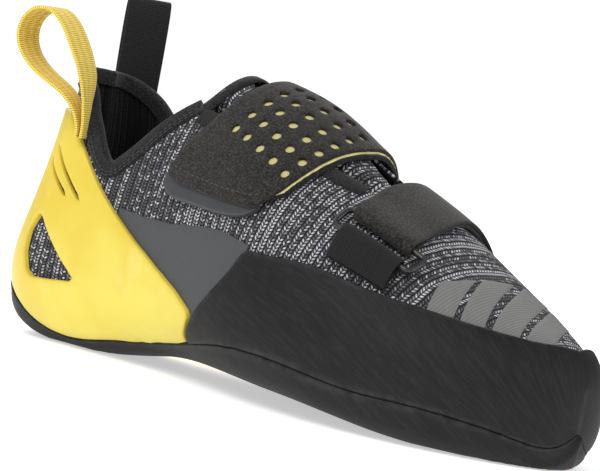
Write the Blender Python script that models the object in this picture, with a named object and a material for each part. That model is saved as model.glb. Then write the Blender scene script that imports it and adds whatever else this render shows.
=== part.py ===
"""Knit climbing shoe with a moulded heel cup, a high rand and two hook and loop straps.

The foot shape (last) is a surface worked out from length, ball width and instep height.
Every piece is a shell between two distances from that surface. Metres, Z up, toe to +X,
the outer side to -Y, origin at the centre of the heel's flat spot on the floor.
"""
import math
from collections import namedtuple

import bpy
import numpy as np
from mathutils import Vector
from mathutils.geometry import delaunay_2d_cdt

# Named sizes in metres
LENGTH = 0.244
BALL_WIDTH = 0.092
INSTEP_HEIGHT = 0.110
HEEL_SEAT = 0.034
GAP = 0.0003
WALL = 0.0020
RAND_THICK = 0.0024
CUP_THICK = 0.0021
SOLE_THICK = 0.0042
SOLE_TAPER = 0.0016
SOLE_BEVEL = 0.0070
FILM_THICK = 0.0007
BINDING_THICK = 0.0006
BINDING_WIDTH = 0.0055
OUTSIDE = WALL + GAP

HALF_GIRTH = 0.130
UNDER = 0.125
GIRTH_GAP = GAP / HALF_GIRTH
LONG_SCALE = LENGTH * math.pi / 2

Section = namedtuple("Section", "along lateral medial floor bottom widest top ridge low_power up_power")
# along: share of LENGTH; lateral, medial, floor, ridge: shares of BALL_WIDTH across;
# bottom, widest, top: shares of INSTEP_HEIGHT; powers: fullness below and above the widest line.
SECTIONS = [
    Section(0.000, 0.000, 0.000, 0.000, 0.160, 0.36, 1.120, 0.000, 2.4, 1.60),
    Section(0.025, -.189, 0.189, 0.000, 0.095, 0.32, 1.120, 0.000, 2.5, 1.60),
    Section(0.055, -.257, 0.257, 0.000, 0.064, 0.30, 1.110, 0.000, 2.7, 1.60),
    Section(0.096, -.301, 0.296, 0.000, 0.051, 0.29, 1.100, 0.000, 3.0, 1.60),
    Section(0.146, -.312, 0.308, 0.000, 0.047, 0.29, 1.080, 0.000, 3.2, 1.62),
    Section(0.206, -.317, 0.308, 0.000, 0.055, 0.29, 1.045, 0.005, 3.2, 1.68),
    Section(0.273, -.325, 0.300, 0.000, 0.080, 0.31, 0.995, 0.012, 3.1, 1.78),
    Section(0.345, -.343, 0.298, 0.000, 0.103, 0.32, 0.955, 0.025, 3.1, 1.88),
    Section(0.422, -.375, 0.320, 0.010, 0.110, 0.31, 0.922, 0.045, 3.1, 2.00),
    Section(0.500, -.415, 0.370, 0.020, 0.103, 0.28, 0.872, 0.070, 3.1, 2.00),
    Section(0.578, -.450, 0.435, 0.035, 0.095, 0.24, 0.775, 0.095, 3.2, 2.00),
    Section(0.654, -.465, 0.490, 0.060, 0.087, 0.21, 0.696, 0.130, 3.3, 2.10),
    Section(0.727, -.455, 0.520, 0.080, 0.072, 0.19, 0.620, 0.150, 3.4, 2.20),
    Section(0.794, -.420, 0.515, 0.095, 0.054, 0.18, 0.535, 0.165, 3.4, 2.30),
    Section(0.854, -.355, 0.480, 0.100, 0.046, 0.17, 0.466, 0.165, 3.4, 2.40),
    Section(0.904, -.275, 0.430, 0.095, 0.045, 0.17, 0.412, 0.150, 3.4, 2.40),
    Section(0.945, -.190, 0.365, 0.090, 0.045, 0.17, 0.372, 0.130, 3.3, 2.40),
    Section(0.976, -.100, 0.290, 0.090, 0.051, 0.17, 0.335, 0.110, 3.1, 2.30),
    Section(0.994, -.010, 0.205, 0.090, 0.072, 0.18, 0.292, 0.100, 2.8, 2.20),
    Section(1.000, 0.095, 0.095, 0.095, 0.110, 0.19, 0.255, 0.095, 2.4, 2.20),
]

BackLean = namedtuple("BackLean", "height forward")
# height: share of INSTEP_HEIGHT; forward: how far the back leans in, share of LENGTH.
BACK_LEAN = [
    BackLean(0.00, 0.027),
    BackLean(0.12, 0.028),
    BackLean(0.26, 0.034),
    BackLean(0.40, 0.060),
    BackLean(0.60, 0.089),
    BackLean(0.80, 0.093),
    BackLean(1.00, 0.088),
    BackLean(1.20, 0.083),
]

Edge = namedtuple("Edge", "along girth")
# along: share of LENGTH; girth: 0 at the middle of the sole, 1 at the middle of the top.
SOLE_EDGE = [
    Edge(0.000, 0.040), Edge(0.030, 0.160), Edge(0.070, 0.185), Edge(0.150, 0.130), Edge(0.227, 0.140),
    Edge(0.345, 0.160), Edge(0.437, 0.225), Edge(0.503, 0.280), Edge(0.569, 0.330), Edge(0.636, 0.357),
    Edge(0.752, 0.378), Edge(0.860, 0.392), Edge(0.929, 0.372), Edge(0.970, 0.320), Edge(1.000, 0.060),
]
RAND_TOP = [
    Edge(0.563, 0.548), Edge(0.643, 0.583), Edge(0.701, 0.598), Edge(0.755, 0.608), Edge(0.835, 0.642),
    Edge(0.873, 0.667), Edge(0.905, 0.698), Edge(0.938, 0.748), Edge(0.960, 0.820), Edge(0.974, 0.940),
]
RAND_REAR = [
    Edge(0.454, 0.245), Edge(0.456, 0.262), Edge(0.472, 0.302), Edge(0.491, 0.353), Edge(0.522, 0.430),
    Edge(0.543, 0.495), Edge(0.551, 0.530), Edge(0.563, 0.548),
]
CUP_FRONT = [
    Edge(0.080, 0.672), Edge(0.107, 0.642), Edge(0.136, 0.610), Edge(0.160, 0.583), Edge(0.205, 0.533),
    Edge(0.268, 0.471), Edge(0.375, 0.378), Edge(0.462, 0.322), Edge(0.466, 0.306), Edge(0.450, 0.262),
    Edge(0.447, 0.238),
]
CUP_TOP = [
    Edge(0.000, 0.645), Edge(0.020, 0.660), Edge(0.042, 0.672), Edge(0.062, 0.676), Edge(0.080, 0.672),
]
WINDOW = [
    Edge(0.090, 0.406), Edge(0.079, 0.357), Edge(0.084, 0.308), Edge(0.098, 0.271), Edge(0.112, 0.263),
    Edge(0.199, 0.286), Edge(0.203, 0.295), Edge(0.106, 0.404), Edge(0.097, 0.411),
]
Slit = namedtuple("Slit", "along_top girth_top along_low girth_low width")
SLITS = [Slit(0.074, 0.584, 0.172, 0.482, 0.0013), Slit(0.062, 0.548, 0.137, 0.480, 0.0013)]
FILM_TOP = [
    Edge(0.258, 0.500), Edge(0.319, 0.494), Edge(0.382, 0.499), Edge(0.494, 0.541), Edge(0.550, 0.553),
]

Rim = namedtuple("Rim", "along height")
# height: share of INSTEP_HEIGHT; from the back of the collar down to the dip and up to the front.
RIM_OUTER = [
    Rim(0.000, 0.888), Rim(0.017, 0.889), Rim(0.050, 0.872), Rim(0.094, 0.835), Rim(0.122, 0.768),
    Rim(0.144, 0.720), Rim(0.176, 0.648), Rim(0.204, 0.614), Rim(0.222, 0.634), Rim(0.252, 0.696),
    Rim(0.277, 0.758), Rim(0.300, 0.806), Rim(0.329, 0.857),
]
RIM_INNER = [
    Rim(0.000, 0.888), Rim(0.017, 0.883), Rim(0.050, 0.862), Rim(0.094, 0.815), Rim(0.122, 0.760),
    Rim(0.144, 0.718), Rim(0.176, 0.648), Rim(0.204, 0.614), Rim(0.222, 0.634), Rim(0.252, 0.696),
    Rim(0.277, 0.758), Rim(0.300, 0.806), Rim(0.329, 0.857),
]
THROAT = [
    Edge(0.345, 0.820), Edge(0.376, 0.812), Edge(0.480, 0.832), Edge(0.584, 0.855), Edge(0.633, 0.873),
    Edge(0.668, 0.900), Edge(0.684, 0.950),
]
TONGUE_TOP = 0.338
TONGUE_HIGH = 0.0016
TONGUE_LOW = -.0003
TONGUE_SUNK = -.0024
TONGUE_MARGIN = 0.0025
TONGUE_RISE = 0.0060
TONGUE_BOUND = 0.104
THROAT_BOUND = (0.370, 0.636)
TONGUE_EDGE = [Edge(TONGUE_TOP, 0.795), Edge(0.480, 0.795), Edge(0.600, 0.810), Edge(0.690, 0.850), Edge(0.720, 0.900)]

Lift = namedtuple("Lift", "low high")
# distances from the last's surface in metres
UPPER_LIFT = Lift(0.0, WALL)
INSOLE_LIFT = Lift(0.0, WALL - GAP)
RAND_LIFT = Lift(OUTSIDE, OUTSIDE + RAND_THICK)
CUP_LIFT = Lift(OUTSIDE, OUTSIDE + CUP_THICK)
FILM_LIFT = Lift(OUTSIDE, OUTSIDE + FILM_THICK)
LINING_LIFT = Lift(0.0036, 0.0041)
STRAP_LIFT = Lift(0.0050, 0.0062)
TAB_LIFT = Lift(0.0026, 0.0042)

STRAP_REAR = [
    Edge(0.352, 0.622), Edge(0.352, 0.640), Edge(0.376, 0.738), Edge(0.391, 0.787), Edge(0.403, 0.880),
    Edge(0.409, 0.950), Edge(0.411, 1.000), Edge(0.409, 1.080), Edge(0.405, 1.160), Edge(0.402, 1.300),
    Edge(0.400, 1.440),
]
STRAP_FRONT = [
    Edge(0.541, 0.634), Edge(0.545, 0.650), Edge(0.560, 0.705), Edge(0.570, 0.800), Edge(0.574, 0.902),
    Edge(0.576, 0.985), Edge(0.572, 1.060), Edge(0.564, 1.160), Edge(0.552, 1.300), Edge(0.540, 1.440),
]
STRAP_END = [
    Edge(0.541, 0.634), Edge(0.532, 0.622), Edge(0.478, 0.602), Edge(0.428, 0.598), Edge(0.379, 0.602),
    Edge(0.360, 0.610), Edge(0.352, 0.622),
]
LINING_END = [Edge(0.545, 0.665), Edge(0.450, 0.660), Edge(0.358, 0.660)]
TAB_END = [
    Edge(0.541, 0.646), Edge(0.537, 0.628), Edge(0.528, 0.608), Edge(0.513, 0.590), Edge(0.478, 0.570),
    Edge(0.437, 0.563), Edge(0.385, 0.560), Edge(0.360, 0.568), Edge(0.346, 0.585), Edge(0.342, 0.603),
    Edge(0.347, 0.622), Edge(0.352, 0.646),
]
Hole = namedtuple("Hole", "along girth")
HOLE_ROWS = [Hole(0.419, 0.790), Hole(0.445, 0.779), Hole(0.474, 0.768), Hole(0.502, 0.760), Hole(0.529, 0.753)]
HOLES_IN_ROW = 6
HOLE_PITCH = 0.0495
HOLE_DRIFT = 0.0012
HOLE_RADIUS = 0.0014

FORE_REAR = [Edge(0.668, 0.745), Edge(0.664, 0.790), Edge(0.653, 0.870), Edge(0.645, 0.978), Edge(0.642, 1.080),
             Edge(0.642, 1.200), Edge(0.645, 1.320), Edge(0.648, 1.440)]
FORE_FRONT = [Edge(0.763, 0.745), Edge(0.758, 0.790), Edge(0.748, 0.870), Edge(0.733, 0.978), Edge(0.722, 1.080),
              Edge(0.722, 1.200), Edge(0.727, 1.320), Edge(0.733, 1.440)]
ANCHOR_REAR = [Edge(0.681, 0.600), Edge(0.676, 0.698), Edge(0.675, 0.730)]
ANCHOR_FRONT = [Edge(0.779, 0.600), Edge(0.773, 0.650), Edge(0.770, 0.698), Edge(0.769, 0.730)]
ANCHOR_END = 0.628
FORE_START = 1.370
FORE_END = 1.300
FORE_THICK = 0.0012
ANCHOR_THICK = 0.0010
RING_LOW = 0.700
RING_HIGH = 0.764
RING_LIFT = 0.0052
RING_WIRE = 0.0011
RING_FACES = 8
RING_CORNER = 0.0025
RING_REAR = 0.657
RING_FRONT = 0.784


def clear_scene():
    for item in list(bpy.data.objects):
        bpy.data.objects.remove(item, do_unlink=True)


def share_to_u(share):
    return np.arccos(1 - 2 * np.clip(share, 0, 1)) / math.pi


def spline(knots, values, level_ends):
    """Cubic spline as a function; level_ends gives it no slope at both ends."""
    x = np.asarray(knots, float)
    y = np.asarray(values, float)
    count = len(x)
    step = np.diff(x)
    matrix = np.zeros((count, count))
    right = np.zeros(count)
    for i in range(1, count - 1):
        matrix[i, i - 1] = step[i - 1]
        matrix[i, i] = 2 * (step[i - 1] + step[i])
        matrix[i, i + 1] = step[i]
        right[i] = 6 * ((y[i + 1] - y[i]) / step[i] - (y[i] - y[i - 1]) / step[i - 1])
    if level_ends:
        matrix[0, 0] = 2 * step[0]
        matrix[0, 1] = step[0]
        right[0] = 6 * (y[1] - y[0]) / step[0]
        matrix[-1, -1] = 2 * step[-1]
        matrix[-1, -2] = step[-1]
        right[-1] = -6 * (y[-1] - y[-2]) / step[-1]
    else:
        matrix[0, 0] = 1
        matrix[-1, -1] = 1
    bend = np.linalg.solve(matrix, right)

    def value(t):
        t = np.clip(np.asarray(t, float), x[0], x[-1])
        i = np.clip(np.searchsorted(x, t) - 1, 0, count - 2)
        width = step[i]
        p = (x[i + 1] - t) / width
        q = (t - x[i]) / width
        curve = (p**3 - p) * bend[i] + (q**3 - q) * bend[i + 1]
        return p * y[i] + q * y[i + 1] + curve * width * width / 6

    return value


def section_functions():
    u = share_to_u(np.array([row.along for row in SECTIONS]))
    found = {}
    for name in Section._fields[1:]:
        values = [getattr(row, name) for row in SECTIONS]
        found[name] = spline(u, values, name not in ("lateral", "medial"))
    return found


SHAPE = section_functions()
LEAN = spline([row.height for row in BACK_LEAN], [row.forward for row in BACK_LEAN], False)


def surface(u, angle):
    """Point of the last: u 0 heel to 1 toe, angle -90 degrees under the foot, 0 inner side, 90 on top."""
    u, angle = np.broadcast_arrays(np.asarray(u, float), np.asarray(angle, float))
    across = np.cos(angle)
    upward = np.sin(angle)
    below = upward < 0
    power = 2 / np.where(below, SHAPE["low_power"](u), SHAPE["up_power"](u))
    centre = np.where(below, SHAPE["floor"](u), SHAPE["ridge"](u))
    side = np.where(across < 0, SHAPE["lateral"](u), SHAPE["medial"](u))
    y = centre + (side - centre) * np.abs(across) ** power
    widest = SHAPE["widest"](u)
    end = np.where(below, SHAPE["bottom"](u), SHAPE["top"](u))
    z = widest + (end - widest) * np.abs(upward) ** power
    fade = np.clip(1 - u / 0.5, 0, 1) ** 2
    x = (1 - np.cos(math.pi * u)) / 2 + LEAN(z) * fade
    return np.stack([x * LENGTH - HEEL_SEAT, y * BALL_WIDTH, z * INSTEP_HEIGHT], -1)


ROWS = 241
TURNS = 721
MARKS = 201


def girth_tables():
    """Angle for an even walk round each section, inner side and outer side, from sole to top."""
    u = np.linspace(0, 1, ROWS)
    angle = np.radians(np.linspace(-90, 270, TURNS))
    points = surface(u[:, None], angle[None, :])
    steps = np.linalg.norm(np.diff(points, axis=1), axis=2) + 1e-9
    half = TURNS // 2
    start = np.zeros((ROWS, 1))
    inner = np.concatenate([start, np.cumsum(steps[:, :half], 1)], 1)
    outer = np.concatenate([start, np.cumsum(steps[:, half:][:, ::-1], 1)], 1)
    marks = np.linspace(0, 1, MARKS)
    up = angle[: half + 1]
    down = angle[half:][::-1]
    inner_angle = np.empty((ROWS, MARKS))
    outer_angle = np.empty((ROWS, MARKS))
    for i in range(ROWS):
        inner_angle[i] = np.interp(marks, inner[i] / inner[i, -1], up)
        outer_angle[i] = np.interp(marks, outer[i] / outer[i, -1], down)
    return inner_angle, outer_angle


INNER_ANGLE, OUTER_ANGLE = girth_tables()


def angle_of(u, w):
    """w runs round the foot: 0 under the middle, 1 on top by the inner side, 2 - g on the outer side."""
    u, w = np.broadcast_arrays(np.asarray(u, float), np.asarray(w, float))
    turned = (w + 1) % 2 - 1
    girth = np.abs(turned) * (MARKS - 1)
    row = np.clip(u, 0, 1) * (ROWS - 1)
    i = np.clip(row.astype(int), 0, ROWS - 2)
    j = np.clip(girth.astype(int), 0, MARKS - 2)
    a = row - i
    b = girth - j

    def look(table):
        low = (1 - b) * table[i, j] + b * table[i, j + 1]
        high = (1 - b) * table[i + 1, j] + b * table[i + 1, j + 1]
        return (1 - a) * low + a * high

    return np.where(turned < 0, look(OUTER_ANGLE), look(INNER_ANGLE))


def place(u, w, lift=0.0):
    """Point at a distance from the last's surface along its outward normal."""
    u, w, lift = np.broadcast_arrays(np.asarray(u, float), np.asarray(w, float), np.asarray(lift, float))
    angle = angle_of(u, w)
    small = 1e-3
    inside = np.clip(u, 2 * small, 1 - 2 * small)
    along = surface(inside + small, angle) - surface(inside - small, angle)
    around = surface(inside, angle + small) - surface(inside, angle - small)
    normal = np.cross(around, along)
    normal[..., 1] = np.where((u < 1e-9) | (u > 1 - 1e-9), 0.0, normal[..., 1])
    normal /= np.linalg.norm(normal, axis=-1, keepdims=True) + 1e-15
    return surface(u, angle) + normal * lift[..., None]


def girth_at_height(u, height, outer):
    """Girth share on the upper half of a section where it stands at a height (share of INSTEP_HEIGHT)."""
    girth = np.linspace(0.25, 1.0, 400)
    w = 2 - girth if outer else girth
    z = place(np.full(400, u), w)[:, 2]
    return float(np.interp(height * INSTEP_HEIGHT, z, girth))


def rows_to_path(rows, outer=False, centre=1, shrink=0.0):
    """(u, w) points of a table; centre 1 walks over the top, centre 0 under the sole."""
    path = []
    for row in rows:
        girth = row.girth + shrink
        if centre == 1:
            w = 2 - girth if outer else girth
        else:
            w = -girth if outer else girth
        path.append((float(share_to_u(row.along)), w))
    return path


def smooth_path(path, parts=4):
    """Rounder line through the points, by a centripetal walk between neighbours."""
    points = np.array(path, float)
    scaled = points * [LONG_SCALE, HALF_GIRTH]
    knots = np.concatenate([[0], np.cumsum(np.maximum(np.linalg.norm(np.diff(scaled, axis=0), axis=1), 1e-6) ** 0.5)])
    along = spline(knots, points[:, 0], False)
    around = spline(knots, points[:, 1], False)
    t = np.concatenate([np.linspace(a, b, parts, endpoint=False) for a, b in zip(knots[:-1], knots[1:])] + [[knots[-1]]])
    return [(float(a), float(b)) for a, b in zip(along(t), around(t))]


def on_frame(a, b):
    """True where an edge lies on a border of the (u, w) sheet, which is split by itself."""
    same_u = abs(a[0] - b[0]) < 1e-9 and (a[0] < 1e-9 or a[0] > 1 - 1e-9)
    same_w = abs(a[1] - b[1]) < 1e-9 and (a[1] < 1e-9 or a[1] > 2 - 1e-9)
    return same_u or same_w


def resample(loop, step):
    """Split a closed loop of (u, w) so that no edge is longer than step metres, corners kept."""
    points = []
    for a, b in zip(loop, loop[1:] + loop[:1]):
        length = math.hypot((b[0] - a[0]) * LONG_SCALE, (b[1] - a[1]) * HALF_GIRTH)
        parts = 1 if on_frame(a, b) else max(1, math.ceil(length / step - 1e-6))
        for i in range(parts):
            points.append((a[0] + (b[0] - a[0]) * i / parts, a[1] + (b[1] - a[1]) * i / parts))
    return points


def inside_loops(points, loops):
    """Crossing test of many points against loops; a loop inside another is a hole."""
    inside = np.zeros(len(points), bool)
    for loop in loops:
        a = np.array(loop)
        b = np.roll(a, -1, axis=0)
        for (xa, ya), (xb, yb) in zip(a, b):
            if ya == yb:
                continue
            crosses = (points[:, 1] < ya) != (points[:, 1] < yb)
            x = xa + (points[:, 1] - ya) * (xb - xa) / (yb - ya)
            inside ^= crosses & (points[:, 0] < x)
    return inside


def edge_distance(points, starts, ends):
    nearest = np.full(len(points), np.inf)
    for start, end in zip(starts, ends):
        d = end - start
        t = np.clip(((points - start) @ d) / max(d @ d, 1e-18), 0, 1)
        nearest = np.minimum(nearest, np.linalg.norm(points - start - t[:, None] * d, axis=1))
    return nearest


def split_marks(marks, step):
    """Marks with even ones added between them, no further apart than step."""
    marks = sorted(marks)
    kept = [marks[0]]
    for mark in marks[1:]:
        if mark - kept[-1] > 1e-4:
            kept.append(mark)
    line = []
    for a, b in zip(kept[:-1], kept[1:]):
        parts = max(1, math.ceil((b - a) / step - 1e-6))
        line += [a + (b - a) * i / parts for i in range(parts)]
    return line + [kept[-1]]


def sheet(loops, step, whole=True):
    """One net of triangles over the surface that follows every loop, so that pieces laid over
    each other share their facets. whole adds the borders of the full (u, w) sheet."""
    scale = np.array([LONG_SCALE, HALF_GIRTH])
    points = []
    number = {}
    edges = set()

    def add(point):
        key = (round(point[0], 6), round(point[1], 6))
        if key not in number:
            number[key] = len(points)
            points.append(point)
        return number[key]

    def join(a, b):
        i, j = add(a), add(b)
        if i != j:
            edges.add((min(i, j), max(i, j)))

    rings = [resample(loop, step) for loop in loops]
    if whole:
        for end in (0.0, 1.0):
            marks = {0.0, 1.0, 2.0}
            for ring in rings:
                for u, w in ring:
                    if abs(u - end) < 1e-9:
                        marks.update((w, 2 - w))
            line = split_marks(marks, step / HALF_GIRTH)
            for a, b in zip(line[:-1], line[1:]):
                join((end, a), (end, b))
        marks = {0.0, 1.0}
        for ring in rings:
            marks.update(u for u, w in ring if abs(w) < 1e-9 or abs(w - 2) < 1e-9)
        line = split_marks(marks, step / LONG_SCALE)
        for a, b in zip(line[:-1], line[1:]):
            join((a, 0.0), (b, 0.0))
            join((a, 2.0), (b, 2.0))
    for ring in rings:
        for a, b in zip(ring, ring[1:] + ring[:1]):
            if not (whole and on_frame(a, b)):
                join(a, b)
    flat = np.array(points) * scale
    starts = flat[[i for i, j in edges]]
    ends = flat[[j for i, j in edges]]
    low, high = flat.min(0), flat.max(0)
    across = np.arange(low[0] + step / 2, high[0], step)
    around = np.arange(low[1] + step / 2, high[1], step)
    grid = np.stack(np.meshgrid(across, around, indexing="ij"), -1).reshape(-1, 2)
    if whole:
        folds = [(abs(end - 0.6 * step / LONG_SCALE), turn + side * 0.45 * step / HALF_GIRTH)
                 for end in (0, 1) for turn, side in ((0, 1), (1, -1), (1, 1), (2, -1))]
        folds = np.array(folds) * scale
        apart = np.linalg.norm(grid[:, None, :] - folds[None, :, :], axis=2).min(1)
        grid = grid[apart > 0.7 * step]
        grid = np.concatenate([folds, grid[edge_distance(grid, starts, ends) > step * 0.5]])
    else:
        grid = grid[edge_distance(grid, starts, ends) > step * 0.5]
    made = delaunay_2d_cdt([Vector(p) for p in np.concatenate([flat, grid])], sorted(edges), [], 0, 1e-7)
    flat = np.array([tuple(p) for p in made[0]])
    faces = np.array([tuple(f) for f in made[2]])
    a, b, c = flat[faces[:, 0]], flat[faces[:, 1]], flat[faces[:, 2]]
    area = (b[:, 0] - a[:, 0]) * (c[:, 1] - a[:, 1]) - (b[:, 1] - a[:, 1]) * (c[:, 0] - a[:, 0])
    faces[area < 0] = faces[area < 0][:, ::-1]
    return flat / scale, faces[np.abs(area) > 1e-11]


def weld(flat, faces):
    """Join the sheet's two halves at the back line (u 0), the toe line (u 1) and under the foot."""
    target = np.arange(len(flat))
    for i, (u, w) in enumerate(flat):
        twin = w
        if abs(u) < 1e-6 or abs(u - 1) < 1e-6:
            twin = min(w, 2 - w)
        elif abs(w - 2) < 1e-6:
            twin = 0.0
        if twin != w:
            apart = np.abs(flat[:, 0] - u) + np.abs(flat[:, 1] - twin)
            nearest = int(np.argmin(apart))
            if apart[nearest] < 1e-4:
                target[i] = nearest
    faces = target[faces]
    used, faces = np.unique(faces, return_inverse=True)
    return flat[used], faces.reshape(-1, 3)


def border_edges(faces):
    count = {}
    for a, b, c in faces:
        for edge in ((a, b), (b, c), (c, a)):
            count[edge] = count.get(edge, 0) + 1
    return [edge for edge in count if (edge[1], edge[0]) not in count]


def new_object(name, points, faces, material):
    mesh = bpy.data.meshes.new(name)
    mesh.from_pydata([tuple(map(float, p)) for p in points], [], [tuple(map(int, f)) for f in faces])
    mesh.materials.append(material)
    mesh.validate()
    mesh.update()
    item = bpy.data.objects.new(name, mesh)
    bpy.context.collection.objects.link(item)
    return item


def unit(vectors):
    return vectors / (np.linalg.norm(vectors, axis=-1, keepdims=True) + 1e-15)


def surface_step(u, w, direction, distance):
    """(u, w) reached by walking a distance over the surface in a direction given in space."""
    small = 1e-4
    base = min(max(u, 0.02), 0.98)
    du = (place(base + small, w) - place(base - small, w)) / (2 * small)
    dw = (place(base, w + small) - place(base, w - small)) / (2 * small)
    step = np.linalg.lstsq(np.stack([du, dw], 1), direction * distance, rcond=None)[0]
    if u < 1e-6 or u > 1 - 1e-6:
        return u, w + step[1]
    return u + step[0], w + step[1]


def draw_in(flat, borders, distance):
    """Move the points on a region's border inward by a distance measured on the surface."""
    result = flat.copy()
    shift = {}
    for a, b in borders:
        p, q = place(*flat[a]), place(*flat[b])
        normal = place(*((flat[a] + flat[b]) / 2), 0.001) - place(*((flat[a] + flat[b]) / 2))
        into = unit(np.cross(unit(normal), unit(p - q)))
        for i in (a, b):
            shift.setdefault(i, []).append(into)
    for i, ways in shift.items():
        u, w = flat[i]
        way = unit(np.sum(ways, axis=0))
        cosine = max(0.4, float(np.mean([way @ one for one in ways])))
        along, around = surface_step(u, w, way, distance / cosine)
        fixed = u < 1e-6 or u > 1 - 1e-6
        result[i] = (u if fixed else min(max(along, 1e-4), 1 - 1e-4), around)
    return result


def shell(name, material, net, loops, lift, without=(), floor=None, gap=GAP):
    """Closed solid between two distances over a region of the net, without other regions;
    its border stands back by half a gap. floor cuts its outside flat at that height."""
    flat, faces = net
    middle = flat[faces].mean(axis=1)
    chosen = inside_loops(middle, loops)
    for other in without:
        chosen &= ~inside_loops(middle, other)
    flat, faces = weld(flat, faces[chosen])
    borders = border_edges(faces)
    flat = draw_in(flat, borders, gap / 2)
    u = np.where(flat[:, 0] < 1e-6, 0.0, np.where(flat[:, 0] > 1 - 1e-6, 1.0, flat[:, 0]))
    low = lift.low(u, flat[:, 1]) if callable(lift.low) else lift.low
    high = lift.high(u, flat[:, 1]) if callable(lift.high) else lift.high
    inner = place(u, flat[:, 1], low)
    outer = place(u, flat[:, 1], high)
    if floor is not None:
        outer[:, 2] = np.maximum(outer[:, 2], floor)
    count = len(flat)
    solid = [tuple(f) for f in faces]
    solid += [(a + count, c + count, b + count) for a, b, c in faces]
    for a, b in borders:
        solid.append((b, a, a + count))
        solid.append((b, a + count, b + count))
    return new_object(name, np.concatenate([inner, outer]), solid, material)


def sweep(name, material, rings, closed=False, caps=None):
    """Closed solid through rings of points; caps lists the triangles that close an open sweep."""
    rings = np.asarray(rings, float)
    count, size = rings.shape[:2]
    points = rings.reshape(-1, 3)
    faces = []
    for i in range(count if closed else count - 1):
        k = (i + 1) % count
        for j in range(size):
            n = (j + 1) % size
            a, b = i * size + j, i * size + n
            c, d = k * size + n, k * size + j
            faces.append((a, b, c))
            faces.append((a, c, d))
    if not closed:
        caps = caps or [(0, j, j + 1) for j in range(1, size - 1)]
        last = (count - 1) * size
        faces += [(c, b, a) for a, b, c in caps]
        faces += [(a + last, b + last, c + last) for a, b, c in caps]
    volume = sum(np.dot(points[a], np.cross(points[b], points[c])) for a, b, c in faces)
    if volume < 0:
        faces = [(c, b, a) for a, b, c in faces]
    return new_object(name, points, faces, material)


def make_material(name, colour, roughness):
    material = bpy.data.materials.new(name)
    material.use_nodes = True
    node = material.node_tree.nodes["Principled BSDF"]
    node.inputs["Base Color"].default_value = (*colour, 1.0)
    node.inputs["Roughness"].default_value = roughness
    return material


def edge_function(rows):
    """Girth share as a function of u for a table whose along column grows."""
    u = share_to_u(np.array([row.along for row in rows]))
    return spline(u, [row.girth for row in rows], False)


def mirror(path):
    return [(u, 2 - w) for u, w in path]


def sole_line(count=38):
    """Edge of the outsole on the inner side, from the heel to the toe."""
    edge = edge_function(SOLE_EDGE)
    return [(float(u), float(edge(u))) for u in np.linspace(0, 1, count + 1)]


def sole_region():
    half = sole_line() + [(1.0, 0.0), (0.0, 0.0)]
    return [half, mirror(half)]


def sole_high(u, w):
    """Outer lift of the sole: full underneath, thinned to the rand's level along its border."""
    share = (1 - np.cos(math.pi * u)) / 2
    edge = np.interp(share, [row.along for row in SOLE_EDGE], [row.girth for row in SOLE_EDGE])
    inward = np.clip((edge - np.minimum(w, 2 - w)) * HALF_GIRTH / SOLE_BEVEL, 0, 1)
    return OUTSIDE + SOLE_THICK - SOLE_TAPER * (1 - inward * inward * (3 - 2 * inward))


def insole_region():
    half = [(0.0, UNDER), (1.0, UNDER), (1.0, 0.0), (0.0, 0.0)]
    return [half, mirror(half)]


def rand_region():
    """C-shaped band: up the outer side, round the toe and back along the inner side."""
    start = float(share_to_u(RAND_REAR[0].along))
    low = [point for point in sole_line() if point[0] > start]
    rear = smooth_path(rows_to_path(RAND_REAR), 2)
    side = rows_to_path(RAND_TOP)
    toe = (float(share_to_u(0.9775)), 1.0)
    top = smooth_path(side + [toe] + mirror(side)[::-1], 2)
    return [[low[0]] + rear + top[1:-1] + mirror(rear)[::-1] + mirror(low) + [(1.0, 1.0)] + low[1:][::-1]]


def cup_region():
    """Heel cup, inner and outer half: from the sole up to a tab at the back, joined at the back line."""
    end = float(share_to_u(CUP_FRONT[-1].along))
    low = [point for point in sole_line() if point[0] < end]
    front = smooth_path(rows_to_path(CUP_FRONT), 2)
    top = smooth_path(rows_to_path(CUP_TOP), 2)
    half = top[:-1] + front + low[::-1]
    return [half, mirror(half)]


def slit_loop(slit, outer):
    path = rows_to_path([Edge(slit.along_top, slit.girth_top), Edge(slit.along_low, slit.girth_low)], outer)
    (ua, wa), (ub, wb) = path
    dx, dy = (ub - ua) * LONG_SCALE, (wb - wa) * HALF_GIRTH
    length = math.hypot(dx, dy)
    nx, ny = -dy / length * slit.width / 2, dx / length * slit.width / 2
    side = (nx / LONG_SCALE, ny / HALF_GIRTH)
    return [(ua, wa), (ua + side[0] + (ub - ua) * 0.08, wa + side[1] + (wb - wa) * 0.08),
            (ub + side[0] - (ub - ua) * 0.08, wb + side[1] - (wb - wa) * 0.08), (ub, wb),
            (ub - side[0] - (ub - ua) * 0.08, wb - side[1] - (wb - wa) * 0.08),
            (ua - side[0] + (ub - ua) * 0.08, wa - side[1] + (wb - wa) * 0.08)]


def film_region(outer):
    """Coated film on the side; the heel cup, the rand and the sole are taken out of it."""
    path = rows_to_path(FILM_TOP) + [(float(share_to_u(0.545)), 0.30), (float(share_to_u(0.445)), 0.18)]
    path += [(float(share_to_u(0.30)), 0.30)]
    return [mirror(path) if outer else path]


def rim_path():
    """Collar rim from the outer throat corner round the heel to the inner throat corner."""
    outer = [(float(share_to_u(r.along)), 2 - girth_at_height(float(share_to_u(r.along)), r.height, True))
             for r in RIM_OUTER]
    inner = [(float(share_to_u(r.along)), girth_at_height(float(share_to_u(r.along)), r.height, False))
             for r in RIM_INNER]
    return outer, inner


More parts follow.
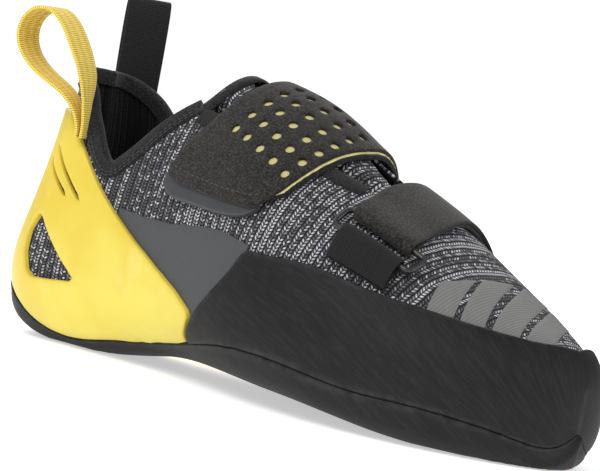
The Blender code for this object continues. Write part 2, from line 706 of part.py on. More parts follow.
def upper_loop():
    """Whole knit upper: rim at the back, throat in front, feather line under the foot."""
    rim, back = collar_path()
    throat = smooth_path(rows_to_path(THROAT, True), 2)
    loop = [(0.0, UNDER), (1.0, UNDER), (1.0, 1.0), (1.0, 2 - UNDER), (0.0, 2 - UNDER)]
    loop += rim[: back + 1][::-1] + throat + mirror(throat)[::-1]
    return loop + rim[back + 1:][::-1] + mirror([rim[back]])


def tongue_loop():
    outer = rows_to_path(TONGUE_EDGE, True)
    inner = [(a, 2 - w) for a, w in outer]
    return outer + inner[::-1]


def tongue_crown():
    """Part of the tongue behind its band that stands at full height, so that its facets do too."""
    start = float(share_to_u(TONGUE_TOP))
    half = TONGUE_BOUND + 0.008
    end = start + 2 * BINDING_WIDTH / LONG_SCALE
    return [(start, 1 - half), (end, 1 - half), (end, 1 + half), (start, 1 + half)]


def throat_half_width(u):
    edge = edge_function(THROAT)
    return 1 - edge(u)


def tongue_high(u, w):
    """The tongue fills the throat and sinks where the upper's edges lie over it."""
    spare = (throat_half_width(u) - np.abs(w - 1)) * HALF_GIRTH
    front = (float(share_to_u(0.672)) - u) * LONG_SCALE
    rise = np.clip((np.minimum(spare, front) - TONGUE_MARGIN) / TONGUE_RISE, 0, 1)
    rise = rise * rise * (3 - 2 * rise)
    return TONGUE_SUNK + rise * (TONGUE_HIGH - TONGUE_SUNK)


def tongue_low(u, w):
    return tongue_high(u, w) - (TONGUE_HIGH - TONGUE_LOW)


def strap_loop(end, grow=0.0):
    """Region of the instep strap above its free end; grow widens it for the lining whose edge shows."""
    more = grow / LONG_SCALE
    above = max(row.girth for row in end)
    rear_rows = [row for row in STRAP_REAR if row.girth > above]
    front_rows = [row for row in STRAP_FRONT if row.girth > above]
    rear = smooth_path([(a - more, 2 - g) for a, g in strap_rows(rear_rows)], 2)
    front = smooth_path([(a + more, 2 - g) for a, g in strap_rows(front_rows)], 2)
    return [(a, 2 - g) for a, g in strap_rows(end)] + rear + front[::-1]


def strap_rows(rows):
    return [(float(share_to_u(row.along)), row.girth) for row in rows]


def hole_loops():
    loops = []
    for row in HOLE_ROWS:
        for i in range(HOLES_IN_ROW):
            u = float(share_to_u(row.along + i * HOLE_DRIFT * (6 - i)))
            w = 2 - (row.girth + i * HOLE_PITCH)
            loops.append([(u + HOLE_RADIUS * math.cos(t) / LONG_SCALE, w + HOLE_RADIUS * math.sin(t) / HALF_GIRTH)
                          for t in (math.radians(k * 60) for k in range(6))])
    return loops


def belt(name, material, path, rear_rows, front_rows, thick, across=4):
    """Folded band: path holds (girth walk, lift) of its middle line; thickness across it."""
    path = np.array(path, float)
    flat = path * [HALF_GIRTH, 1.0]
    direction = np.gradient(flat, axis=0)
    direction /= np.linalg.norm(direction, axis=1, keepdims=True)
    side = np.stack([-direction[:, 1], direction[:, 0]], 1)
    rear = spline([row.girth for row in rear_rows], [row.along for row in rear_rows], False)
    front = spline([row.girth for row in front_rows], [row.along for row in front_rows], False)
    rings = []
    shares = np.linspace(0, 1, across + 1)
    for centre, n in zip(flat, side):
        ring = []
        for sign, order in ((1, shares), (-1, shares[::-1])):
            point = centre + sign * n * thick / 2
            girth = point[0] / HALF_GIRTH
            a = float(share_to_u(float(rear(girth))))
            b = float(share_to_u(float(front(girth))))
            for t in order:
                ring.append(place(a + (b - a) * t, 2 - girth, point[1]))
        rings.append(ring)
    size = len(rings[0])
    caps = []
    for j in range(across):
        caps.append((j, j + 1, size - 1 - j))
        caps.append((j + 1, size - 2 - j, size - 1 - j))
    return sweep(name, material, rings, caps=caps)


def fold_path(stations, end_high, bar_lift, radius, low_lift, high_lift, side):
    """Walk along the lower layer to a bar, round it, and back along the upper layer. stations are
    the girths of both layers, the bar last; side is the way, along the girth, round the bar."""
    bar_girth = stations[-1]
    reach = 0.012 / HALF_GIRTH

    def near_bar(girth):
        near = min(max(1 - abs(bar_girth - girth) / reach, 0), 1)
        return near * near * (3 - 2 * near)

    path = []
    for girth in stations:
        path.append((girth, low_lift + (bar_lift - radius - low_lift) * near_bar(girth)))
    for turn in (36, 72, 108, 144):
        angle = math.radians(turn)
        path.append((bar_girth + side * radius * math.sin(angle) / HALF_GIRTH, bar_lift - radius * math.cos(angle)))
    for girth in stations[::-1]:
        if (girth - end_high) * (bar_girth - end_high) >= 0:
            path.append((girth, high_lift + (bar_lift + radius - high_lift) * near_bar(girth)))
    return path


def ring_tube(name, material):
    """Wire ring: a rounded rectangle laid over the side of the foot."""
    low, high = RING_LOW, RING_HIGH
    rear, front = float(share_to_u(RING_REAR)), float(share_to_u(RING_FRONT))
    round_u = RING_CORNER / LONG_SCALE
    round_w = RING_CORNER / HALF_GIRTH
    corners = [(front - round_u, high - round_w, 0), (rear + round_u, high - round_w, 90),
               (rear + round_u, low + round_w, 180), (front - round_u, low + round_w, 270)]
    path = []
    for u, girth, start in corners:
        for t in (0, 45, 90):
            angle = math.radians(start + t)
            path.append((u + round_u * math.cos(angle), girth + round_w * math.sin(angle)))
    dense = []
    for a, b in zip(path, path[1:] + path[:1]):
        parts = max(1, round(math.hypot((b[0] - a[0]) * LONG_SCALE, (b[1] - a[1]) * HALF_GIRTH) / 0.006))
        dense += [(a[0] + (b[0] - a[0]) * i / parts, a[1] + (b[1] - a[1]) * i / parts) for i in range(parts)]
    u = np.array([p[0] for p in dense])
    w = 2 - np.array([p[1] for p in dense])
    centre = place(u, w, RING_LIFT)
    ahead = np.roll(centre, -1, axis=0) - np.roll(centre, 1, axis=0)
    ahead /= np.linalg.norm(ahead, axis=1, keepdims=True)
    away = place(u, w, RING_LIFT + 0.001) - centre
    away /= np.linalg.norm(away, axis=1, keepdims=True)
    beside = np.cross(ahead, away)
    rings = []
    for c, n, s in zip(centre, away, beside):
        turns = [2 * math.pi * k / RING_FACES for k in range(RING_FACES)]
        rings.append([c + RING_WIRE * (n * math.cos(t) + s * math.sin(t)) for t in turns])
    return sweep(name, material, rings, closed=True)


PullLoop = namedtuple("PullLoop", "out up wide")
# metres from the point where the loop is sewn on: away from the heel, and up
YELLOW_LOOP = [
    PullLoop(0.0000, -.0020, 0.26), PullLoop(0.0000, 0.0030, 0.28), PullLoop(0.0006, 0.0110, 0.45),
    PullLoop(0.0022, 0.0200, 0.85), PullLoop(0.0066, 0.0290, 1.00), PullLoop(0.0122, 0.0370, 1.00),
    PullLoop(0.0178, 0.0410, 1.00), PullLoop(0.0237, 0.0405, 1.00), PullLoop(0.0279, 0.0355, 1.00),
    PullLoop(0.0283, 0.0295, 1.00), PullLoop(0.0256, 0.0240, 1.00), PullLoop(0.0194, 0.0188, 1.00),
    PullLoop(0.0126, 0.0152, 0.95), PullLoop(0.0071, 0.0116, 0.75), PullLoop(0.0037, 0.0065, 0.42),
    PullLoop(0.0021, 0.0010, 0.27), PullLoop(0.0021, -.0020, 0.26),
]
BLACK_LOOP = [
    PullLoop(0.0000, -.0040, 1.00), PullLoop(0.0000, 0.0060, 1.00), PullLoop(-.0004, 0.0160, 1.00),
    PullLoop(-.0010, 0.0260, 1.00), PullLoop(-.0006, 0.0360, 1.00), PullLoop(0.0012, 0.0430, 1.00),
    PullLoop(0.0045, 0.0462, 1.00), PullLoop(0.0080, 0.0440, 1.00), PullLoop(0.0094, 0.0370, 1.00),
    PullLoop(0.0086, 0.0270, 1.00), PullLoop(0.0060, 0.0170, 1.00), PullLoop(0.0032, 0.0080, 1.00),
    PullLoop(0.0021, 0.0020, 1.00), PullLoop(0.0021, -.0040, 1.00),
]
LoopSeat = namedtuple("LoopSeat", "u w lift out_x out_y width")
YELLOW_SEAT = LoopSeat(0.2428, 1.3595, 0.0066, -.95, -.30, 0.0165)
BLACK_SEAT = LoopSeat(0.1180, 0.6385, 0.0064, -.74, 0.67, 0.0160)
LOOP_THICK = 0.0012


def pull_loop(name, material, seat, path):
    """Webbing folded into a loop that stands off the heel, both ends sewn at one seat."""
    base = place(seat.u, seat.w, seat.lift)
    outward = unit(np.array([seat.out_x, seat.out_y, 0.0]))
    rise = np.array([0.0, 0.0, 1.0])
    across = unit(np.cross(outward, rise))
    parts = 3
    line = smooth_curve([(row.out, row.up) for row in path], parts)
    wide = np.interp(np.arange(len(line)) / parts, np.arange(len(path)), [row.wide for row in path])
    centre = np.array([base + outward * out + rise * up for out, up in line])
    ahead = unit(np.gradient(centre, axis=0))
    rings = []
    for point, way, share in zip(centre, ahead, wide):
        half = across * seat.width * share / 2
        skin = np.cross(way, across) * LOOP_THICK / 2
        rings.append([point + half + skin, point + half - skin, point - half - skin, point - half + skin])
    return sweep(name, material, rings)


def smooth_curve(path, parts=4):
    points = np.array(path, float)
    knots = np.concatenate([[0], np.cumsum(np.linalg.norm(np.diff(points, axis=0), axis=1) ** 0.5)])
    x = spline(knots, points[:, 0], False)
    y = spline(knots, points[:, 1], False)
    t = np.concatenate([np.linspace(a, b, parts, endpoint=False) for a, b in zip(knots[:-1], knots[1:])] + [[knots[-1]]])
    return list(zip(x(t), y(t)))


def into_panel(path):
    """Directions, square to an edge and on the surface, that lead into the panel on its left."""
    points = np.array(path, float)
    here = place(points[:, 0], points[:, 1])
    normal = unit(place(points[:, 0], points[:, 1], 0.001) - here)
    return unit(np.cross(normal, unit(np.gradient(here, axis=0))))


def parallel(path, distance):
    """Line at a distance from an edge, inside its panel."""
    line = []
    for (u, w), direction in zip(path, into_panel(path)):
        along, around = surface_step(u, w, direction, distance)
        line.append((min(max(along, 0.0), 1.0), around))
    return line


def binding(name, material, path, low=0.0, high=WALL):
    """Folded edge band: a U round the edge that the path follows, with the panel on its left;
    low and high are the panel's two faces."""
    over = high + 1.8 * GAP
    under = low - 3.3 * GAP
    thick = BINDING_THICK
    profile = [(BINDING_WIDTH, over + thick), (BINDING_WIDTH, over), (-GAP, over), (-GAP, under),
               (BINDING_WIDTH * 0.8, under), (BINDING_WIDTH * 0.8, under - thick),
               (-GAP - thick, under - thick), (-GAP - thick, over + thick)]
    lines = [parallel(path, distance) for distance, lift in profile]
    rings = []
    for i in range(len(path)):
        rings.append([place(*line[i], lift) for line, (distance, lift) in zip(lines, profile)])
    caps = [(0, 1, 2), (0, 2, 7), (7, 2, 3), (7, 3, 6), (6, 3, 4), (6, 4, 5)]
    return sweep(name, material, rings, caps=caps)


def collar_path():
    """Collar edge from the outer throat corner round the heel; also the index of the back point."""
    outer, inner = rim_path()
    outer = smooth_path(outer, 4)
    inner = smooth_path(inner, 4)
    return outer[::-1] + inner[1:], len(outer) - 1


def collar_strips():
    """The two strips of the upper that the collar band covers."""
    rim, back = collar_path()
    foot = parallel(rim, BINDING_WIDTH + GAP)
    outer = rim[: back + 1] + foot[: back + 1][::-1]
    inner = mirror([rim[back]]) + rim[back + 1:] + foot[back + 1:][::-1] + mirror([foot[back]])
    return [outer, inner]


def build():
    clear_scene()
    knit = make_material("knit_grey", (0.075, 0.075, 0.080), 0.85)
    rubber = make_material("rubber_black", (0.020, 0.020, 0.021), 0.62)
    yellow = make_material("rubber_yellow", (0.78, 0.70, 0.12), 0.48)
    film = make_material("film_grey", (0.065, 0.067, 0.075), 0.70)
    suede = make_material("suede_black", (0.030, 0.029, 0.028), 0.80)
    lining = make_material("lining_yellow", (0.72, 0.64, 0.20), 0.75)
    tab_grey = make_material("tab_grey", (0.110, 0.115, 0.120), 0.55)
    web_black = make_material("webbing_black", (0.035, 0.035, 0.036), 0.75)
    web_yellow = make_material("webbing_yellow", (0.75, 0.66, 0.20), 0.75)
    ring_dark = make_material("ring_dark", (0.028, 0.028, 0.030), 0.30)
    board = make_material("insole_grey", (0.16, 0.16, 0.16), 0.85)

    upper = [upper_loop()]
    insole = insole_region()
    sole = sole_region()
    rand = rand_region()
    cup = cup_region()
    window = [rows_to_path(WINDOW), rows_to_path(WINDOW, True)]
    slits = [slit_loop(slit, outer) for slit in SLITS for outer in (False, True)]
    film_inner = film_region(False)
    film_outer = film_region(True)
    tongue = [tongue_loop()]
    loops = upper + insole + sole + rand + cup + window + slits + film_inner + film_outer + tongue
    loops += collar_strips() + [tongue_crown()]
    net = sheet(loops, 0.0102)
    shell("upper", knit, net, upper, UPPER_LIFT)
    shell("insole", board, net, insole, INSOLE_LIFT)
    shell("outsole", rubber, net, sole, Lift(OUTSIDE, sole_high), floor=0.0)
    shell("rand", rubber, net, rand, RAND_LIFT)
    shell("heel_cup", yellow, net, cup + window + slits, CUP_LIFT)
    shell("film_outer", film, net, film_outer, FILM_LIFT, without=[cup, rand, sole])
    shell("film_inner", film, net, film_inner, FILM_LIFT, without=[cup, rand, sole])
    shell("tongue", suede, net, tongue, Lift(tongue_low, tongue_high))
    strap = [strap_loop(STRAP_END)]
    holes = hole_loops()
    tab = [rows_to_path(TAB_END, True)]
    under_strap = [strap_loop(LINING_END, 0.0008)]
    net = sheet(strap + holes + tab, 0.0100, whole=False)
    shell("instep_strap", suede, net, strap + holes, STRAP_LIFT)
    shell("strap_tab", tab_grey, net, tab, TAB_LIFT)
    net = sheet(under_strap, 0.0080, whole=False)
    shell("strap_lining", lining, net, under_strap, LINING_LIFT)
    ring_tube("ring", ring_dark)
    round_bar = RING_WIRE + 1.5 * GAP
    stations = np.linspace(FORE_START, RING_HIGH, 11)
    path = fold_path(stations, FORE_END, RING_LIFT, round_bar + FORE_THICK / 2, 0.0032, 0.0048, -1)
    belt("forefoot_strap", suede, path, FORE_REAR, FORE_FRONT, FORE_THICK)
    stations = np.linspace(ANCHOR_END, RING_LOW, 4)
    path = fold_path(stations, ANCHOR_END, RING_LIFT, round_bar + ANCHOR_THICK / 2, 0.0031, 0.0045, 1)
    belt("ring_anchor", web_black, path, ANCHOR_REAR, ANCHOR_FRONT, ANCHOR_THICK)
    binding("collar_binding", web_black, collar_path()[0])
    for name, outer in (("throat_binding_outer", True), ("throat_binding_inner", False)):
        line = smooth_path(rows_to_path(THROAT, True), 2)
        line = [point for point in line if share_to_u(THROAT_BOUND[0]) < point[0] < share_to_u(THROAT_BOUND[1])]
        binding(name, web_black, line[::-1] if outer else mirror(line))
    edge = float(share_to_u(TONGUE_TOP))
    line = [(edge, w) for w in np.linspace(1 - TONGUE_BOUND, 1 + TONGUE_BOUND, 9)]
    binding("tongue_binding", web_black, line, low=TONGUE_LOW, high=TONGUE_HIGH)
    pull_loop("pull_loop_outer", web_yellow, YELLOW_SEAT, YELLOW_LOOP)
    pull_loop("pull_loop_inner", web_black, BLACK_SEAT, BLACK_LOOP)


if __name__ == "__main__":
    build()
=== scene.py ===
"""Studio picture of a knitted climbing shoe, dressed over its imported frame.

Every piece is laid on the foot form (last), the same surface that the frame's solids use:
u runs from the heel, 0, to the toe, 1, and w round the foot, 0 under the sole, 1 on top.
A lift is a distance from that surface. Metres, Z up, toe to +X, outer side to -Y.
"""
import math
from collections import namedtuple

import bpy
import numpy as np
from bpy.props import FloatProperty, FloatVectorProperty, IntProperty, PointerProperty
from bpy.types import Operator, Panel, PropertyGroup
from mathutils import Matrix, Vector
from mathutils.geometry import delaunay_2d_cdt


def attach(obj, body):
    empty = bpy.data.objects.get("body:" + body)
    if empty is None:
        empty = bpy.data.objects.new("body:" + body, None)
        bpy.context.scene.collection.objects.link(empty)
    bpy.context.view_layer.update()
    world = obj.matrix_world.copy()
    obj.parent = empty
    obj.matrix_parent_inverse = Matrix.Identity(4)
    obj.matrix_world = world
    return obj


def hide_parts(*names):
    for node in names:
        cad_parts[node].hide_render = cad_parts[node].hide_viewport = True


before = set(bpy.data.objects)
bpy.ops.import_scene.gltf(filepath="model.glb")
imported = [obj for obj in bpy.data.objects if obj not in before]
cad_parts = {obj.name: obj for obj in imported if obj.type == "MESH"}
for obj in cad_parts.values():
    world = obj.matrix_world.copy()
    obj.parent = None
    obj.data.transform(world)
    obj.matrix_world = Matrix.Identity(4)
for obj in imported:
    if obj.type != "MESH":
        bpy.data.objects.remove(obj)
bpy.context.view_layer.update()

bl_info = {
    "name": "Climbing shoe",
    "version": (1, 0, 0),
    "blender": (4, 5, 0),
    "location": "3D View > Sidebar > Shoe",
    "description": "Dresses the packed frame of a knitted climbing shoe for a studio picture",
    "category": "Object",
}

# Sizes of the shoe in metres, and its tables
LENGTH = 0.244
BALL_WIDTH = 0.092
INSTEP_HEIGHT = 0.110
HEEL_SEAT = 0.034
GAP = 0.0003
WALL = 0.0020
RAND_THICK = 0.0024
CUP_THICK = 0.0021
SOLE_THICK = 0.0042
SOLE_TAPER = 0.0016
SOLE_BEVEL = 0.0070
BINDING_WIDTH = 0.0055
OUTSIDE = WALL + GAP

HALF_GIRTH = 0.130
UNDER = 0.125
LONG_SCALE = LENGTH * math.pi / 2

Section = namedtuple("Section", "along lateral medial floor bottom widest top ridge low_power up_power")
# along: share of LENGTH; lateral, medial, floor, ridge: shares of BALL_WIDTH across;
# bottom, widest, top: shares of INSTEP_HEIGHT; powers: fullness below and above the widest line.
SECTIONS = [
    Section(0.000, 0.000, 0.000, 0.000, 0.160, 0.36, 1.120, 0.000, 2.4, 1.60),
    Section(0.025, -.189, 0.189, 0.000, 0.095, 0.32, 1.120, 0.000, 2.5, 1.60),
    Section(0.055, -.257, 0.257, 0.000, 0.064, 0.30, 1.110, 0.000, 2.7, 1.60),
    Section(0.096, -.301, 0.296, 0.000, 0.051, 0.29, 1.100, 0.000, 3.0, 1.60),
    Section(0.146, -.312, 0.308, 0.000, 0.047, 0.29, 1.080, 0.000, 3.2, 1.62),
    Section(0.206, -.317, 0.308, 0.000, 0.055, 0.29, 1.045, 0.005, 3.2, 1.68),
    Section(0.273, -.325, 0.300, 0.000, 0.080, 0.31, 0.995, 0.012, 3.1, 1.78),
    Section(0.345, -.343, 0.298, 0.000, 0.103, 0.32, 0.955, 0.025, 3.1, 1.88),
    Section(0.422, -.375, 0.320, 0.010, 0.110, 0.31, 0.922, 0.045, 3.1, 2.00),
    Section(0.500, -.415, 0.370, 0.020, 0.103, 0.28, 0.872, 0.070, 3.1, 2.00),
    Section(0.578, -.450, 0.435, 0.035, 0.095, 0.24, 0.775, 0.095, 3.2, 2.00),
    Section(0.654, -.465, 0.490, 0.060, 0.087, 0.21, 0.696, 0.130, 3.3, 2.10),
    Section(0.727, -.455, 0.520, 0.080, 0.072, 0.19, 0.620, 0.150, 3.4, 2.20),
    Section(0.794, -.420, 0.515, 0.095, 0.054, 0.18, 0.535, 0.165, 3.4, 2.30),
    Section(0.854, -.355, 0.480, 0.100, 0.046, 0.17, 0.466, 0.165, 3.4, 2.40),
    Section(0.904, -.275, 0.430, 0.095, 0.045, 0.17, 0.412, 0.150, 3.4, 2.40),
    Section(0.945, -.190, 0.365, 0.090, 0.045, 0.17, 0.372, 0.130, 3.3, 2.40),
    Section(0.976, -.100, 0.290, 0.090, 0.051, 0.17, 0.335, 0.110, 3.1, 2.30),
    Section(0.994, -.010, 0.205, 0.090, 0.072, 0.18, 0.292, 0.100, 2.8, 2.20),
    Section(1.000, 0.095, 0.095, 0.095, 0.110, 0.19, 0.255, 0.095, 2.4, 2.20),
]

BackLean = namedtuple("BackLean", "height forward")
# height: share of INSTEP_HEIGHT; forward: how far the back leans in, share of LENGTH.
BACK_LEAN = [
    BackLean(0.00, 0.027),
    BackLean(0.12, 0.028),
    BackLean(0.26, 0.034),
    BackLean(0.40, 0.060),
    BackLean(0.60, 0.089),
    BackLean(0.80, 0.093),
    BackLean(1.00, 0.088),
    BackLean(1.20, 0.083),
]

Edge = namedtuple("Edge", "along girth")
# along: share of LENGTH; girth: 0 at the middle of the sole, 1 at the middle of the top.
SOLE_EDGE = [
    Edge(0.000, 0.040), Edge(0.030, 0.160), Edge(0.070, 0.185), Edge(0.150, 0.130), Edge(0.227, 0.140),
    Edge(0.345, 0.160), Edge(0.437, 0.225), Edge(0.503, 0.280), Edge(0.569, 0.330), Edge(0.636, 0.357),
    Edge(0.752, 0.378), Edge(0.860, 0.392), Edge(0.929, 0.372), Edge(0.970, 0.320), Edge(1.000, 0.060),
]
RAND_TOP = [
    Edge(0.563, 0.548), Edge(0.643, 0.583), Edge(0.701, 0.598), Edge(0.755, 0.608), Edge(0.835, 0.642),
    Edge(0.873, 0.667), Edge(0.905, 0.698), Edge(0.938, 0.748), Edge(0.960, 0.820), Edge(0.974, 0.940),
]
RAND_REAR = [
    Edge(0.454, 0.245), Edge(0.456, 0.262), Edge(0.472, 0.302), Edge(0.491, 0.353), Edge(0.522, 0.430),
    Edge(0.543, 0.495), Edge(0.551, 0.530), Edge(0.563, 0.548),
]
CUP_FRONT = [
    Edge(0.080, 0.672), Edge(0.107, 0.642), Edge(0.136, 0.610), Edge(0.160, 0.583), Edge(0.205, 0.533),
    Edge(0.268, 0.471), Edge(0.375, 0.378), Edge(0.462, 0.322), Edge(0.466, 0.306), Edge(0.450, 0.262),
    Edge(0.447, 0.238),
]
CUP_TOP = [
    Edge(0.000, 0.645), Edge(0.020, 0.660), Edge(0.042, 0.672), Edge(0.062, 0.676), Edge(0.080, 0.672),
]
WINDOW = [
    Edge(0.090, 0.406), Edge(0.079, 0.357), Edge(0.084, 0.308), Edge(0.098, 0.271), Edge(0.112, 0.263),
    Edge(0.199, 0.286), Edge(0.203, 0.295), Edge(0.106, 0.404), Edge(0.097, 0.411),
]
Slit = namedtuple("Slit", "along_top girth_top along_low girth_low width")
SLITS = [Slit(0.074, 0.584, 0.172, 0.482, 0.0013), Slit(0.062, 0.548, 0.137, 0.480, 0.0013)]
FILM_TOP = [
    Edge(0.258, 0.500), Edge(0.319, 0.494), Edge(0.382, 0.499), Edge(0.494, 0.541), Edge(0.550, 0.553),
]

Rim = namedtuple("Rim", "along height")
# height: share of INSTEP_HEIGHT; from the back of the collar down to the dip and up to the front.
RIM_OUTER = [
    Rim(0.000, 0.888), Rim(0.017, 0.889), Rim(0.050, 0.872), Rim(0.094, 0.835), Rim(0.122, 0.768),
    Rim(0.144, 0.720), Rim(0.176, 0.648), Rim(0.204, 0.614), Rim(0.222, 0.634), Rim(0.252, 0.696),
    Rim(0.277, 0.758), Rim(0.300, 0.806), Rim(0.329, 0.857),
]
RIM_INNER = [
    Rim(0.000, 0.888), Rim(0.017, 0.883), Rim(0.050, 0.862), Rim(0.094, 0.815), Rim(0.122, 0.760),
    Rim(0.144, 0.718), Rim(0.176, 0.648), Rim(0.204, 0.614), Rim(0.222, 0.634), Rim(0.252, 0.696),
    Rim(0.277, 0.758), Rim(0.300, 0.806), Rim(0.329, 0.857),
]
THROAT = [
    Edge(0.345, 0.820), Edge(0.376, 0.812), Edge(0.480, 0.832), Edge(0.584, 0.855), Edge(0.633, 0.873),
    Edge(0.668, 0.900), Edge(0.684, 0.950),
]
TONGUE_TOP = 0.338
TONGUE_HIGH = 0.0016
TONGUE_LOW = -.0003
TONGUE_SUNK = -.0024
TONGUE_MARGIN = 0.0025
TONGUE_RISE = 0.0060
# shares of LENGTH between which the throat's folded bands run
THROAT_BOUND = (0.347, 0.636)
TONGUE_EDGE = [
    Edge(TONGUE_TOP, 0.795), Edge(0.480, 0.795), Edge(0.600, 0.810), Edge(0.690, 0.850), Edge(0.720, 0.900),
]

Lift = namedtuple("Lift", "low high")
# distances from the last's surface in metres
UPPER_LIFT = Lift(0.0, WALL)
INSOLE_LIFT = Lift(0.0, WALL - GAP)
RAND_LIFT = Lift(OUTSIDE, OUTSIDE + RAND_THICK)
CUP_LIFT = Lift(OUTSIDE, OUTSIDE + CUP_THICK)
FILM_LIFT = Lift(0.0019, 0.0026)
TOE_BAND_LIFT = Lift(0.0016, 0.0023)
STRAP_LIFT = Lift(0.0050, 0.0062)
LINING_LIFT = Lift(STRAP_LIFT.low - 0.0004, STRAP_LIFT.low - 0.0001)
PILE_LIFT = Lift(0.0030, STRAP_LIFT.low - 0.0005)
TAB_LIFT = Lift(0.0026, STRAP_LIFT.low - 0.0002)
# how far the lining and the dark pile under it show past the strap's edges
LINING_SHOWS = 0.0007
PILE_SHOWS = 0.0016

STRAP_REAR = [
    Edge(0.352, 0.622), Edge(0.352, 0.640), Edge(0.376, 0.738), Edge(0.391, 0.787), Edge(0.403, 0.880),
    Edge(0.409, 0.950), Edge(0.411, 1.000), Edge(0.409, 1.080), Edge(0.405, 1.160), Edge(0.402, 1.300),
    Edge(0.400, 1.440),
]
STRAP_FRONT = [
    Edge(0.541, 0.634), Edge(0.545, 0.650), Edge(0.560, 0.705), Edge(0.570, 0.800), Edge(0.574, 0.902),
    Edge(0.576, 0.985), Edge(0.572, 1.060), Edge(0.564, 1.160), Edge(0.552, 1.300), Edge(0.540, 1.440),
]
STRAP_END = [
    Edge(0.541, 0.634), Edge(0.532, 0.622), Edge(0.478, 0.602), Edge(0.428, 0.598), Edge(0.379, 0.602),
    Edge(0.360, 0.610), Edge(0.352, 0.622),
]
LINING_END = [Edge(0.545, 0.665), Edge(0.450, 0.660), Edge(0.358, 0.660)]
TAB_END = [
    Edge(0.541, 0.646), Edge(0.537, 0.628), Edge(0.528, 0.608), Edge(0.513, 0.590), Edge(0.478, 0.570),
    Edge(0.437, 0.563), Edge(0.385, 0.560), Edge(0.360, 0.568), Edge(0.346, 0.585), Edge(0.342, 0.603),
    Edge(0.347, 0.622), Edge(0.352, 0.646),
]
Hole = namedtuple("Hole", "along girth")
HOLE_ROWS = [
    Hole(0.419, 0.790), Hole(0.445, 0.779), Hole(0.474, 0.768), Hole(0.502, 0.760), Hole(0.529, 0.753),
]
HOLES_IN_ROW = 6
HOLE_PITCH = 0.0495
HOLE_DRIFT = 0.0012
HOLE_RADIUS = 0.0014

FORE_REAR = [
    Edge(0.668, 0.745), Edge(0.664, 0.790), Edge(0.653, 0.870), Edge(0.645, 0.978), Edge(0.642, 1.080),
    Edge(0.642, 1.200), Edge(0.645, 1.320), Edge(0.648, 1.440),
]
FORE_FRONT = [
    Edge(0.763, 0.745), Edge(0.758, 0.790), Edge(0.748, 0.870), Edge(0.733, 0.978), Edge(0.722, 1.080),
    Edge(0.722, 1.200), Edge(0.727, 1.320), Edge(0.733, 1.440),
]
ANCHOR_REAR = [Edge(0.681, 0.600), Edge(0.676, 0.698), Edge(0.675, 0.730)]
ANCHOR_FRONT = [Edge(0.779, 0.600), Edge(0.773, 0.650), Edge(0.770, 0.698), Edge(0.769, 0.730)]
ANCHOR_END = 0.628
FORE_START = 1.370
FORE_END = 1.300
FORE_THICK = 0.0012
ANCHOR_THICK = 0.0010
RING_LOW = 0.700
RING_HIGH = 0.764
RING_LIFT = 0.0052
RING_WIRE = 0.0011
RING_CORNER = 0.0025
RING_REAR = 0.657
RING_FRONT = 0.784


PullLoop = namedtuple("PullLoop", "out up wide")
# metres from the point where the loop is sewn on: away from the heel, and up
YELLOW_LOOP = [
    PullLoop(0.0000, -.0020, 0.26), PullLoop(0.0000, 0.0030, 0.28), PullLoop(0.0006, 0.0110, 0.45),
    PullLoop(0.0022, 0.0200, 0.85), PullLoop(0.0066, 0.0290, 1.00), PullLoop(0.0122, 0.0370, 1.00),
    PullLoop(0.0178, 0.0410, 1.00), PullLoop(0.0237, 0.0405, 1.00), PullLoop(0.0279, 0.0355, 1.00),
    PullLoop(0.0283, 0.0295, 1.00), PullLoop(0.0256, 0.0240, 1.00), PullLoop(0.0194, 0.0188, 1.00),
    PullLoop(0.0126, 0.0152, 0.95), PullLoop(0.0071, 0.0116, 0.75), PullLoop(0.0037, 0.0065, 0.42),
    PullLoop(0.0021, 0.0010, 0.27), PullLoop(0.0021, -.0020, 0.26),
]
BLACK_LOOP = [
    PullLoop(0.0000, -.0040, 1.00), PullLoop(0.0000, 0.0060, 1.00), PullLoop(-.0004, 0.0160, 1.00),
    PullLoop(-.0010, 0.0260, 1.00), PullLoop(-.0006, 0.0360, 1.00), PullLoop(0.0012, 0.0430, 1.00),
    PullLoop(0.0045, 0.0462, 1.00), PullLoop(0.0080, 0.0440, 1.00), PullLoop(0.0094, 0.0370, 1.00),
    PullLoop(0.0086, 0.0270, 1.00), PullLoop(0.0060, 0.0170, 1.00), PullLoop(0.0032, 0.0080, 1.00),
    PullLoop(0.0021, 0.0020, 1.00), PullLoop(0.0021, -.0040, 1.00),
]
LoopSeat = namedtuple("LoopSeat", "u w lift out_x out_y width")
YELLOW_SEAT = LoopSeat(0.2428, 1.3595, 0.0066, -.95, -.30, 0.0165)
BLACK_SEAT = LoopSeat(0.1180, 0.6385, 0.0064, -.74, 0.67, 0.0160)
LOOP_THICK = 0.0012

# Toe bands: corners round each band, shares of LENGTH and w of the foot form
TOE_BANDS = [
    [(0.833, 1.360), (0.811, 1.237), (0.819, 1.190), (0.826, 1.120), (0.864, 1.325)],
    [(0.871, 1.322), (0.826, 1.098), (0.835, 0.972), (0.899, 1.292)],
    [(0.906, 1.282), (0.835, 0.915), (0.867, 0.853), (0.938, 1.245)],
    [(0.944, 1.234), (0.875, 0.845), (0.915, 0.830), (0.966, 1.112)],
]
# Crease pressed into the heel cup where the moulding folds round the heel
CUP_CREASE = [Edge(0.214, 0.290), Edge(0.248, 0.240), Edge(0.279, 0.198), Edge(0.320, 0.168)]
# Top edge of the tongue, from its outer corner to the middle
TONGUE_LINE = [
    Edge(0.334, 0.812), Edge(0.345, 0.853), Edge(0.351, 0.907), Edge(0.353, 0.960), Edge(0.353, 1.000),
]
# How far the punched holes lie ahead of the table, share of LENGTH, and below it, share of half the girth
# Rise of the tongue's top beside its middle: where it starts and fades along, and how it grows round the foot
LIP_RISE = 0.0032
LIP_START = 0.345
LIP_FADE = 0.045
LIP_MIDDLE = 0.05
LIP_SIDE = 0.10
